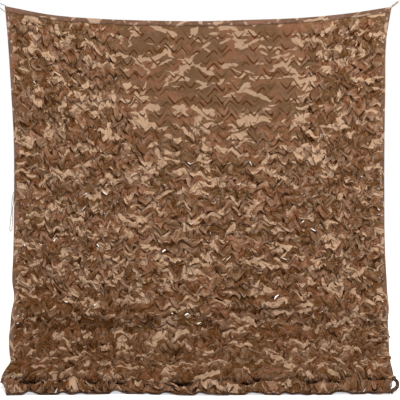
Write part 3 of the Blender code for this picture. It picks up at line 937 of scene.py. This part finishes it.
# %% Draw a leaf for each slit
LIFT_TAUT, LIFT_LOOSE, LIFT_FOLD = 0.0032, 0.015, 0.016  # how far lips stand out, taut, loose and at a fold
FLAP_SHARE = 0.2  # of LIFT_FOLD, at the foot's last fold
RISING = 0.3  # share of the slits before that fold whose lower lip stands up
BACKWARD_TAUT, BACKWARD_MORE = 0.04, 0.30  # share whose lower lip lies on top, and how much more if loose
HIDDEN_SHARE = 0.3  # of the lift, where the heap's folds lie on one another
SLIDE_ACROSS, SLIDE_DOWN = 0.014, 0.018  # how far lips slide, by chance
NEAR_EDGE, EDGE_SLIDE, EDGE_LIFT, FOLD_SLIDE = 7, 0.020, 0.004, 0.018  # the first in columns

lean_end, fold_front, flap_start, flap_crest = (
    float(DOWN[s]) for s in (LEAN_SECTION, FOLD_SECTION, FLAP_SECTION, FLAP_SECTION + 1))
Leaf = namedtuple(
    "Leaf", "slack size dip twist backward leans slides tilts open_line deep middle reach tones")


def draw_leaf(slit):
    """How the slit's lips stand, slide and get painted light and shade, by chance and by where they lie."""
    point = point_at[slit.line, slit.column, 0]
    slack, down = loose[point], flat_down[point]
    at_fold = math.exp(-(((down - fold_front) / 0.05) ** 2))
    leans = HEAP_START - 0.04 < down < lean_end
    rises = flap_start < down < flap_crest + 0.02 and rng.random() < RISING
    backward = leans or rises or rng.random() < (BACKWARD_TAUT + BACKWARD_MORE * slack) * (1 - at_fold)
    hidden = fold_front + 0.05 < down < flap_start - 0.02
    size = (LIFT_TAUT + (LIFT_LOOSE - LIFT_TAUT) * slack) * rng.uniform(1 - 0.6 * slack, 1 + 0.5 * slack)
    at_flap = FLAP_SHARE if down > flap_crest else 0
    size = (size + (at_fold + at_flap) * LIFT_FOLD) * (-1 if backward else 1)
    size *= HIDDEN_SHARE if hidden else 1
    twist = rng.uniform(-0.9, 0.9) * slack
    dip = 0.4 * size if slack < 0.5 else size * rng.uniform(-0.3, 1.2)
    if rises:
        dip = size * rng.uniform(0.2, 1.4)
    slides = rng.normal(0, SLIDE_ACROSS, 2), rng.uniform(0.1, 1, 2) * (SLIDE_DOWN, -SLIDE_DOWN)
    tilts = rng.uniform(-1, 1, 2) * SLIDE_DOWN
    if min(slit.first, WIDE - 1 - slit.last) < NEAR_EDGE:
        size += math.copysign(EDGE_LIFT, size) * slack
    slides[1][0] += FOLD_SLIDE * at_fold
    if down > NET_LENGTH - 0.09:
        slides[1][0] += EDGE_SLIDE * rng.uniform(0, 1)
    # Painted slit shade: how dark its line is, whether a dark triangle is painted under the tip, and which
    # stretch of the line is dark.
    open_line = rng.uniform(0.05 + 0.70 * slack, 1)
    deep = 0.6 * (rng.random() < 0.35 + 0.35 * slack)
    middle, reach = rng.uniform(-0.8, 0.8) * slack, 1.6 - 1.25 * slack  # of the dark stretch of its line
    # How much lighter or darker each of the two lips is painted.
    tones = rng.uniform(-1, 1, 2) * (0.35 + 0.65 * slack)
    return Leaf(slack, size, dip, twist, backward, leans, slides, tilts, open_line, deep, middle,
                reach, tones)


# %% Lay the leaves out
FADES = (1.0, 0.75, 0.35)  # shares of the lift, on the lip and on the next two lines
# Painted soft shade below a slit: its share on the lip and on the next two lines.
SHADE_FADES = (0.4, 0.30, 0.10)
OVERLAP, PARTING = 0.0036, 0.003
LIP_POINTS = SLIT_LEFT + SLIT_RIGHT + 3  # points along the longest lip, with both ends

tuck, rim, tone, soft, lift = np.zeros((5, COUNT))
slide = np.zeros((COUNT, 2))


def lay_leaf(slit, leaf):
    """Lifts and slides the points on both sides of the slit, and marks painted shade and highlights on them.
    """
    behind, step = (0, -1) if leaf.backward else (1, 1)
    for k in range(slit.first + 1, slit.last):
        across_slit = 2 * (k - slit.first) / (slit.last - slit.first) - 1
        bow = math.cos(across_slit * math.pi / 2)
        share = bow**0.7 * (1 + leaf.twist * across_slit)
        for rise, fade in enumerate(FADES):
            above, below = point_at[slit.line - rise, k, 0], point_at[slit.line + rise, k, 1]
            lift[above] += leaf.size * share * fade
            lift[below] -= leaf.dip * share * fade
            for lip, point in enumerate((above, below)):
                push = (leaf.slides[0][lip], leaf.slides[1][lip] + leaf.tilts[lip] * across_slit)
                slide[point] += leaf.slack * bow * fade * np.array(push)
                tone[point] = leaf.tones[lip]
        # A painted dark line in the lip behind, and on the next line a painted dark triangle under some tips.
        if abs(across_slit - leaf.middle) < leaf.reach:
            tuck[point_at[slit.line, k, behind]] = bow**0.4 * leaf.open_line
            next_line = 0.42 * (1 - leaf.slack) * leaf.open_line * bow
            tuck[point_at[slit.line + step, k, behind]] = max(leaf.deep * min(1, 2 * bow), next_line)
        # Painted soft shade in the cloth below the slit, added to the crease shade.
        for rise, fade in enumerate(SHADE_FADES):
            soft[point_at[slit.line + step * rise, k, behind]] = bow * fade * (0.3 + 1.0 * leaf.slack)
        # The lip in front, where a highlight is painted on its cut edge.
        rim[point_at[slit.line, k, 1 - behind]] = bow**0.4


def lips_of(slit, leaf):
    """The slit's two rows of points, how far to overlap and part them, and which of them count."""
    wide = slit.last - slit.first
    lips = [point_at[slit.line, min(k, slit.last)] for k in range(slit.first, slit.first + LIP_POINTS)]
    bows = np.array([max(0, math.cos((2 * k / wide - 1) * math.pi / 2)) if k < wide else 0
                     for k in range(LIP_POINTS)])
    overlap = OVERLAP * (0.6 + 1.0 * leaf.slack + 2 * leaf.leans) * bows**0.2
    parting = (-1 if leaf.backward else 1) * PARTING * bows
    return [above for above, below in lips], [below for above, below in lips], overlap, parting, bows > 0


lip_rows = []
for slit in slits:
    leaf = draw_leaf(slit)
    lay_leaf(slit, leaf)
    lip_rows.append(lips_of(slit, leaf))
upper_lips, lower_lips, overlap, parting, sides = (np.array(rows) for rows in zip(*lip_rows))
print("leaves lifted by up to", round(float(np.abs(lift).max()) * 1000, 1), "mm")

# %% [markdown]
# ### Letting the cloth out
# The net gets its spare cloth while it stays held at its edges: in a hundred and more rounds, each pair
# of neighbours moves towards a distance that grows, so that the sheet has to buckle, as cloth does. It
# ends with about a quarter more cloth than was cut. A real net has no more than was cut, but here the
# amount was chosen for how far the leaves curl. In the same rounds, the two lips of each slit
# are pushed over one another, as the eye in front sees them, so that the slits stay shut. Blender's own
# Cloth can buckle a sheet too, but it has no such tie between lips. With arrays it takes seconds for a
# mesh of this size, and gives the same leaves each time.

# %% How much the cloth is let out
ROUNDS, CLOSING = 120, 16  # rounds that let the cloth out, and then rounds that only close the slits
LET_OUT_BY = 0.6  # share of the rounds after which it has all its cloth
HOLD_PLACE, BENDING = 0.012, 0.025  # how strongly a round draws points back, and evens out their depth
PULL, PUSH = 1.5, 0.4  # how much of what is wanted each round does
DEEPEST, PROUDEST = -0.017, 0.025  # how far points may lie behind and in front of the hanging face
STEEPEST = 1.5  # the most that standing out shifts a point, as seen, for each metre

Spare = namedtuple("Spare", "taut more varies size")
SPARE_DOWN = Spare(0.05, 0.30, 0.12, 0.16)  # share of spare cloth where taut, how much more if loose,
SPARE_ACROSS = Spare(0.01, 0.13, 0.06, 0.12)  # by how much that varies, and in patches of which size


def spare_share(spare):
    return spare.taut + loose * (spare.more + spare.varies * ripples(flat_across, flat_down, spare.size))


slack_down, slack_across = spare_share(SPARE_DOWN), spare_share(SPARE_ACROSS)
start[:, 2] += lift
start[:, :2] += slide * in_hand[:, None]
pairs = np.concatenate([edges, quads[:, [0, 2]], quads[:, [1, 3]]])
span = flat[pairs[:, 1]] - flat[pairs[:, 0]]
rest = np.hypot(span[:, 0] * (1 + in_hand * slack_across)[pairs].mean(axis=1),
                span[:, 1] * (1 + in_hand * slack_down)[pairs].mean(axis=1))
begin = np.linalg.norm(start[pairs[:, 1]] - start[pairs[:, 0]], axis=1)
held = (columns < 2) | (columns > WIDE - 3) | (lines < 2) | (lines > LONG - 3)
links = np.bincount(pairs.ravel(), minlength=COUNT)
neighbours = np.bincount(edges.ravel(), minlength=COUNT)
start[held, 2] = 0
print(f"spare cloth, at most {slack_down.max():.0%} down and {slack_across.max():.0%} across")


# %% How the slits are seen
def seen_shift(across, down):
    """How far across and down a point seems to shift, from the camera, for each metre that it stands out."""
    to_eye = np.array(camera.location) - surface(across, down)
    away = (to_eye * facing(across, down)).sum(axis=-1)
    away = np.maximum(away, 0.4 * np.linalg.norm(to_eye, axis=-1))
    shifts = [-(to_eye * way).sum(axis=-1) / np.linalg.norm(way, axis=-1) / away
              for way in slopes_at(across, down)]
    return np.clip(np.stack(shifts, axis=-1), -STEEPEST, STEEPEST)


def curve_at(curves, across, choose, none):
    """How far down each curve lies at these places across. choose settles it where a curve turns back."""
    found = np.full(across.shape, none)
    for k in range(curves.shape[1] - 1):
        near, far = curves[:, k, None], curves[:, k + 1, None]
        span = far[..., 0] - near[..., 0]
        share = (across - near[..., 0]) / np.where(np.abs(span) < 1e-6, 1e-6, span)
        here = near[..., 1] + share * (far[..., 1] - near[..., 1])
        found = np.where((share >= 0) & (share <= 1), choose(found, here), found)
    return found


# %% Move the lips
shift = seen_shift(start[:, 0], start[:, 1])
upper, lower, wanted, inner = upper_lips[sides], lower_lips[sides], parting[sides], sides[:, 1:-1]


def seen_lips(place):
    seen = place[:, :2] + place[:, 2:] * shift
    return seen[upper_lips], seen[lower_lips]


def overlap_lips(place):
    """Moves the lips towards each other at a right angle to the slit, as far as their overlap lacks."""
    above, below = seen_lips(place)
    ways = above[:, 2:] - above[:, :-2] + below[:, 2:] - below[:, :-2]
    ways /= np.maximum(np.linalg.norm(ways, axis=-1, keepdims=True), 1e-4)
    across_slit = np.stack([-ways[..., 1], ways[..., 0]], axis=-1)
    lacks = ((below - above)[:, 1:-1] * across_slit).sum(axis=-1) + overlap[:, 1:-1]
    step = PUSH * np.maximum(lacks, 0)[..., None] * across_slit
    place[upper_lips[:, 1:-1][inner], :2] += step[inner]
    place[lower_lips[:, 1:-1][inner], :2] -= step[inner]


def cover_gaps(place):
    """Moves lips up or down where the one's curve still shows a gap before the other's."""
    above, below = seen_lips(place)
    lacks_below = below[..., 1] + overlap - curve_at(above, below[..., 0], np.maximum, -np.inf)
    lacks_above = curve_at(below, above[..., 0], np.minimum, np.inf) + overlap - above[..., 1]
    for lips, lacks, way in ((lower, lacks_below[sides], -1), (upper, lacks_above[sides], 1)):
        place[lips, 1] += way * PUSH * np.where(np.isfinite(lacks), np.maximum(lacks, 0), 0)


def part_lips(place):
    """Keeps the lip in front clear of the one behind."""
    short = wanted - (place[upper, 2] - place[lower, 2])
    short = np.where(wanted > 0, np.maximum(short, 0), np.minimum(short, 0)) * PUSH
    place[upper, 2] += short
    place[lower, 2] -= short


# %% Let the cloth out
def spread(index, values):
    """Adds up one row of three values for each index."""
    return np.stack([np.bincount(index, values[:, k], COUNT) for k in range(3)], axis=-1)


def let_out(place, share):
    """One round of moving neighbours apart, towards this share of what they are let out by."""
    target = begin + (rest - begin) * share
    gap = place[pairs[:, 1]] - place[pairs[:, 0]]
    length = np.linalg.norm(gap, axis=1)
    pull = gap * (0.5 * (length - target) / length)[:, None]
    place += PULL * (spread(pairs[:, 0], pull) - spread(pairs[:, 1], pull)) / links[:, None]
    around = sum(np.bincount(edges[:, side], place[edges[:, 1 - side], 2], COUNT) for side in (0, 1))
    place[:, 2] += BENDING * (around / neighbours - place[:, 2])
    place[:, :2] += HOLD_PLACE * (start[:, :2] - place[:, :2])


place = start.copy()
for turn in range(ROUNDS + CLOSING):
    if turn < ROUNDS:
        let_out(place, min(1, (turn + 1) / (LET_OUT_BY * ROUNDS)))
    overlap_lips(place)
    cover_gaps(place)
    part_lips(place)
    place[:, 2] = np.clip(place[:, 2], DEEPEST, PROUDEST)
    place[held] = start[held]
print("depth of the leaves:", (np.percentile(place[:, 2], [5, 25, 75, 95]) * 1000).round(1), "mm")

# %% [markdown]
# ### Creases
# Where the net carries more than its own weight of slack, it has set in a few deeper folds across. They
# are listed one by one: the cloth bulges above each line and tucks in below it.

# %% Creases
Crease = namedtuple("Crease", "left right down tilt depth")
CREASES = [Crease(*row) for row in (
    (-0.99, -0.69, 1.07, 0.02, 0.008),
    (-0.99, -0.78, 1.385, 0.00, 0.009),
    (-0.82, -0.56, 1.355, -0.03, 0.008),
    (-0.66, -0.50, 1.52, 0.05, 0.009),
    (-0.68, -0.52, 1.68, -0.04, 0.009),
    (-0.42, -0.24, 1.48, 0.00, 0.009),
    (0.12, 0.50, 1.48, 0.01, 0.009),
    (-0.02, 0.16, 1.56, 0.00, 0.008),
    (0.39, 0.62, 1.60, 0.20, 0.009),
    (-0.20, -0.02, 1.69, 0.00, 0.009),
    (0.74, 0.99, 1.74, 0.03, 0.010),
    (-0.07, 0.05, 1.10, 0.00, 0.008),
    (-0.05, 0.10, 0.85, 0.00, 0.006),
    (0.13, 0.41, 1.09, 0.02, 0.008),
)]
CREASE_REACH, CREASE_SHIFT, CREASE_END = 0.018, 0.8, 0.06  # its width, its two sides, how its ends fade

folded = np.zeros(COUNT)
for crease in CREASES:
    line = crease.down + crease.tilt * (place[:, 0] - crease.left)
    away = (place[:, 1] - line) / CREASE_REACH
    ends = ramp(place[:, 0], crease.left, crease.left + CREASE_END)
    ends = ends * (1 - ramp(place[:, 0], crease.right - CREASE_END, crease.right))
    bulge, dent = (np.exp(-((away + side * CREASE_SHIFT) ** 2)) for side in (1, -1))
    folded += crease.depth * ends * (bulge - dent)
place[:, 2] += folded * in_hand
print("creases move the cloth by up to", round(float(np.abs(folded).max()) * 1000, 1), "mm")

# %% [markdown]
# The binding is sewn to the net's edge, and the loose cloth beside it spills over it here and there: at
# both sides, more so beside the heap on the right, and over the foot's binding. There it is moved out in
# uneven tongues and laid on top. Low on the left it stays clear of the binding.

# %% Lap over the bindings
OVER_BINDING, LYING = 0.0042, 0.002  # the binding's front, and how far above it the cloth lies
SPILL_SIDES, SPILL_HEAP, SPILL_FOOT = 0.025, 0.036, 0.028
CLEAR_FROM, CLEAR_TO = 1.48, 1.77  # down the left edge
ON_BINDING = 0.002  # a point this near to the binding counts as lying over it

near_side = ramp(np.abs(flat_across), HALF - 0.10, HALF - 0.03) * (np.abs(flat_across) < EDGE - 0.001)
reach_out = SPILL_SIDES + (SPILL_HEAP - SPILL_SIDES) * ramp(flat_down, 1.50, 1.68) * (flat_across > 0)
spill = reach_out * near_side * np.clip(0.35 + 0.8 * ripples(flat_across, flat_down, 0.055), 0, 1)
clear = ramp(flat_down, CLEAR_FROM, CLEAR_FROM + 0.05) * (1 - ramp(flat_down, CLEAR_TO - 0.05, CLEAR_TO))
spill *= 1 - (flat_across < 0) * clear
spill *= ramp(flat_down, 0.06, 0.14) * ramp(NET_LENGTH - flat_down, 0.03, 0.08)
place[:, 0] += np.sign(flat_across) * spill
foot = NET_LENGTH - BINDING_WIDTH
near_foot = ramp(flat_down, NET_LENGTH - 0.10, NET_LENGTH - 0.03) * (flat_down < foot - 0.001)
place[:, 1] += SPILL_FOOT * near_foot * np.clip(0.45 + 0.7 * ripples(flat_across, flat_down, 0.060), 0, 1)
over = ~held & ((np.abs(place[:, 0]) > EDGE - ON_BINDING) | (place[:, 1] > foot - ON_BINDING))
place[over, 2] = np.maximum(place[over, 2], OVER_BINDING) + LYING
print("points that lie over a binding:", int(over.sum()))

# %% [markdown]
# Light shows through a real net in small specks: in a row along a binding that pulls the slits open, and
# here and there elsewhere. The rounds above have shut every slit, so these few are opened again, by
# drawing both lips and the cloth next to them apart, each by a height of its own.

# %% Small gaps
Gaps = namedtuple("Gaps", "left right first last share tallest")
GAP_ROW = 0.025  # how far from a binding a row of gaps may start
GAPS = [
    Gaps(-EDGE, GAP_ROW - EDGE, 1.53, 1.76, 1.0, 0.015),
    Gaps(EDGE - GAP_ROW, EDGE, 0.85, 1.20, 0.8, 0.007),
    Gaps(EDGE - GAP_ROW, EDGE, 1.20, 1.70, 0.5, 0.007),
    Gaps(-0.90, 0.90, 0.15, 1.70, 0.05, 0.0040),
]
GAP_SHAPE = ((-1, 0.2), (0, 1.0), (1, 0.5), (2, 0.1))  # points from its middle, and their share of its height


def open_gap(slit, middle, tall):
    for step, share in GAP_SHAPE:
        k = middle + step
        if slit.first < k < slit.last:
            lip_above, lip_below = point_at[slit.line, k]
            part = max(0, tall * share - place[lip_below, 1] + place[lip_above, 1]) / 2
            for rise, fade in enumerate((1.0, 0.9, 0.6)):
                place[point_at[slit.line - rise, k, 0], 1] -= part * fade
                place[point_at[slit.line + rise, k, 1], 1] += part * fade


gap_count = 0
for slit in slits:
    end = point_at[slit.line, slit.first, 0]
    for gaps in GAPS:
        middle = int(rng.integers(slit.first + 1, slit.last))
        if gaps.left <= -EDGE or gaps.right >= EDGE:  # a row along a binding
            middle = slit.first + 1 if gaps.left < 0 else slit.last - 1
        at = flat_across[point_at[slit.line, middle, 0]]
        inside = gaps.left < at < gaps.right and gaps.first < flat_down[end] < gaps.last
        if inside and rng.random() < gaps.share * loose[end]:
            open_gap(slit, middle, gaps.tallest * (0.35 + 0.65 * rng.random() ** 2))
            gap_count += 1
print("small gaps:", gap_count)

# %% Hang the net
ABOVE_FLOOR = 0.0008
room = hung(place[:, 0], place[:, 1], place[:, 2])
room[:, 2] = np.maximum(room[:, 2], FLOOR + ABOVE_FLOOR)
net_mesh.vertices.foreach_set("co", room.astype(np.float32).ravel())
net_mesh.update()
print("the net's box:", room.min(axis=0).round(3), room.max(axis=0).round(3))

# %% [markdown]
# The map is the flat cloth, in metres. To find how deep in a fold a point lies, it is compared with the
# cloth's broad shape round it: the depths of the grid, averaged three times over eleven lines and eleven
# columns.

# %% Map and attributes
BROAD = 5  # lines or columns to either side
FOLD_DEEP = 0.011  # a point this far behind the broad shape is darkest
CREASE_SHARE, CREASE_DEEPER, SHADE_DEEPER = 0.65, 0.08, 0.17

flat_wide, flat_long = np.linspace(-HALF, HALF, WIDE), np.linspace(0, CUT_LENGTH, LONG)
printed_at = np.stack([flat_wide[columns], flat_long[lines] + zigzag[lines, columns]], axis=-1)
corners = read_numbers(net_mesh.loops, "vertex_index", 1)
net_mesh.uv_layers.new(name="UVMap").data.foreach_set("uv", printed_at[corners].astype(np.float32).ravel())

broad = place[point_at, 2].mean(axis=2)
for turn in range(3):
    for axis in (0, 1):
        ends = [np.repeat(broad.take([end], axis), BROAD, axis) for end in (0, -1)]
        padded = np.concatenate([ends[0], broad, ends[1]], axis)
        shifted = (padded.take(range(k, k + broad.shape[axis]), axis) for k in range(2 * BROAD + 1))
        broad = sum(shifted) / (2 * BROAD + 1)
# Painted shade: darker in deep folds, with soft shade below the slits, more towards the lower left, and less
# on the foot's last flap.
deeper = ramp(flat_down, 1.15, 1.55) * (1 + ramp(-flat_across, 0.2, 0.6))  # to the lower left
crease = np.clip((broad[lines, columns] - place[:, 2]) / FOLD_DEEP, 0, 1)
crease = crease * (CREASE_SHARE + CREASE_DEEPER * deeper) + SHADE_DEEPER * deeper
crease = np.clip(crease + soft, 0, 0.9) * (1 - 0.4 * ramp(flat_down, flap_start, flap_crest))
for name, values in (("crease", crease), ("tuck", tuck), ("rim", rim), ("tone", tone), ("loose", loose)):
    net_mesh.attributes.new(name, "FLOAT", "POINT").data.foreach_set("value", values.astype(np.float32))
print("share of the net in deep folds:", round(float((crease > 0.3).mean()), 2))

# %% Finish the net
SHARP = math.radians(20)  # folds sharper than this show as edges
net_mesh.materials.append(PRINTED)
net_mesh.shade_smooth()
net_mesh.set_sharp_from_angle(angle=SHARP)
if sum(face.normal.y for face in net_mesh.polygons) > 0:
    net_mesh.flip_normals()
net = bpy.data.objects.new("net", net_mesh)
bpy.context.scene.collection.objects.link(net)
dress(net, "net_cloth")
print("area of the net:", round(sum(face.area for face in net_mesh.polygons), 2), "square metres")

# %% [markdown]
# ## The binding
# A strip of the same cloth, 50 mm wide, is folded over each edge and sewn down. It is laid out as a
# grid along the edge whose lines go up one leg, round the fold and down the other, and then hung like
# the net. Its edge waves a little, as a sewn one does. A Solidify modifier gives it the thickness of its
# turned-in hem. The foot's binding lies in the heap's shade, which is painted into its colours.

# %% A strip, and the binding's section
BINDING_THICK = 0.0008
LEG_OUT = 0.0024
END_GAP = 0.0012
STATION = 0.011
STRIP_ABOVE_FLOOR = 0.0006


def make_strip(name, places, along, round_it, thick, cloth):
    """A strip of cloth through rows of places. Its map is flat: along it, and round its section."""
    rows, wide = len(places), len(places[0])
    bm = new_grid(wide, rows)
    for vertex, place in zip(bm.verts, (place for row in places for place in row)):
        vertex.co = place
    uv = bm.loops.layers.uv.new("UVMap")
    for face in bm.faces:
        for loop in face.loops:
            row, station = divmod(loop.vert.index, wide)
            loop[uv].uv = (along[station], round_it[row])
    bmesh.ops.recalc_face_normals(bm, faces=bm.faces)
    strip = finish_mesh(name, bm, cloth)
    solid = strip.modifiers.new("Hem", "SOLIDIFY")
    solid.thickness, solid.offset = thick, 0
    return strip


def binding_section():
    """Points as (in from the fold, out from the face), from the front leg's edge to the back leg's."""
    leg = [(BINDING_WIDTH, LEG_OUT), (BINDING_WIDTH * 0.6, LEG_OUT), (LEG_OUT * 1.6, LEG_OUT)]
    turns = [math.radians(a) for a in (60, 30, 0, -30, -60)]
    bend = [(LEG_OUT - LEG_OUT * math.cos(a), LEG_OUT * math.sin(a)) for a in turns]
    return leg + bend + [(inward, -out) for inward, out in reversed(leg)]


BINDING_SECTION = binding_section()
print("the strip is", round(float(distances(BINDING_SECTION)[-1]) * 1000), "mm wide when flat")


# %% Fold the bindings over the edges
def make_binding(part, first, last, place_at, cloth=BOUND):
    """A strip from first to last along its edge. place_at(along, inward) gives cloth coordinates."""
    along = np.linspace(first, last, round((last - first) / STATION))
    # The thread draws the sewn edge into small uneven waves.
    pucker = 0.0006 * np.sin(along * 310 + 2 * np.sin(along * 23)) + 0.0009 * np.sin(along * 47 + 1)
    rows = []
    for inward, out in BINDING_SECTION:
        side = np.sign(out)
        inward = inward + (0.0012 * np.sin(along * 31) + pucker) * (inward / BINDING_WIDTH)
        places = hung(*place_at(along, inward), out + pucker * side * 0.4)
        places[:, 2] = np.maximum(places[:, 2], FLOOR + STRIP_ABOVE_FLOOR)
        rows.append(places)
    round_it = distances(BINDING_SECTION)
    strip = make_strip(part + "_strip", rows, along, round_it, BINDING_THICK, cloth)
    dress(strip, part)
    print(part, "is", round(last - first, 2), "m long")


end = BINDING_WIDTH + END_GAP
make_binding("binding_top", -HALF, HALF, lambda along, inward: (along, inward))
make_binding("binding_bottom", -HALF, HALF, lambda along, inward: (along, NET_LENGTH - inward),
             cloth=SHADED_CLOTH)
make_binding("binding_left", end, NET_LENGTH - end, lambda along, inward: (inward - HALF, along))
make_binding("binding_right", end, NET_LENGTH - end, lambda along, inward: (HALF - inward, along))

# %% [markdown]
# ## The tape loop at the lower right corner
# A short flat tape comes out of the corner and goes back in at the fold above it. It is a strip that
# follows its route, turned so that its ends lie along the net's edge.

# %% Tape loop
TAPE_WIDTH = 0.020
TAPE_THICK = 0.0012
TAPE_STEP = 0.005
TAPE_LEAN = 0.6  # how far the tape's flat side turns towards the front
TAPE_LINES = np.array([-0.5, -0.17, 0.17, 0.5]) * TAPE_WIDTH
CORNER_LOOP = [LoopPoint(*row) for row in (
    (0.008, -0.006, 0.008),
    (0.026, -0.022, 0.014),
    (0.040, -0.036, 0.022),
    (0.046, -0.058, 0.040),
    (0.038, -0.080, 0.052),
)]
PART_BINDING = 0.0015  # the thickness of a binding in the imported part

beside = HALF + PART_BINDING / 2 + 2 * PIECE_GAP
start_point, end_point = hung(beside, NET_LENGTH - 0.013), hung(beside, float(DOWN[FOLD_SECTION]))
turns_out = [start_point + np.array([p.outside, -p.forward, p.height]) for p in CORNER_LOOP]
route = curve_through([start_point, *turns_out, end_point], TAPE_STEP)
wide_ways = []
for heading in np.gradient(route, axis=0):
    lying = Vector(heading).cross(Vector((0, 1, 0))).normalized()
    wide_ways.append((lying + Vector((0, TAPE_LEAN, 0))).normalized())
rows = [route + across * np.array(wide_ways) for across in TAPE_LINES]
# The tape has the binding's cloth with shade painted in.
tape = make_strip("corner_tape", rows, TAPE_STEP * np.arange(len(route)), TAPE_LINES, TAPE_THICK, SHADED_CLOTH)
dress_cord(tape, "corner_loop", "binding_cloth", route, TAPE_WIDTH, far_end="object", stiffness="medium",
           lay="loose")

# %% [markdown]
# ## Floor and light
# A pale floor, a white surround, and one large soft lamp high in front, so that each leaf throws a
# short soft shadow down on the next. The surround's own light is warm, as light is that has gone back
# and forth between leaves of brown cloth, but where the camera looks past the net it is white. The
# floor's faint glow is cool, which keeps it white under the warm light.

# %% Floor
FLOOR_WHITE, FLOOR_GLOW, GLOW_STRENGTH = (0.93, 0.93, 0.93, 1), (0.90, 0.95, 1.0, 1), 0.62

bm = bmesh.new()
bmesh.ops.create_grid(bm, x_segments=1, y_segments=1, size=30)
bmesh.ops.translate(bm, vec=(0, 0, FLOOR), verts=bm.verts)
floor_material, tree, shader = new_material("floor", 0.9)
shader["Base Color"].default_value = FLOOR_WHITE
shader["Emission Color"].default_value = FLOOR_GLOW
shader["Emission Strength"].default_value = GLOW_STRENGTH
finish_mesh("floor", bm, floor_material, smooth_shading=False)
print("floor at", FLOOR, "m")

# %% Lamps and surround
AMBIENT, WARM, WHITE = 0.61, (1.0, 0.87, 0.68), (1, 1, 1)


def make_lamp(name, place, aim, size, power):
    data = bpy.data.lights.new(name, "AREA")
    data.energy, data.size, data.shape = power, size, "DISK"
    lamp = bpy.data.objects.new(name, data)
    lamp.location = place
    lamp.rotation_euler = (Vector(aim) - Vector(place)).to_track_quat("-Z", "Y").to_euler()
    bpy.context.scene.collection.objects.link(lamp)
    print(name, "lamp:", power, "W")


make_lamp("key", (0.9, -3.5, 3.6), (0, 0, -0.9), 1.2, 324)
make_lamp("fill", (2.6, -3.6, 0.2), (0, 0, -0.9), 2.5, 25)

world = bpy.data.worlds.new("surround")
bpy.context.scene.world = world
world.use_nodes = True
tree = Tree(world.node_tree)
background = tree.nodes["Background"].inputs
seen = tree.node("LightPath").outputs["Is Camera Ray"]
bright = tree.node("MapRange", {"Value": seen, "To Min": AMBIENT, "To Max": 1.0})
tree.link(tree.mix(seen, WARM, WHITE), background["Color"])
tree.link(bright.outputs["Result"], background["Strength"])
bpy.context.scene.view_settings.view_transform = "Standard"
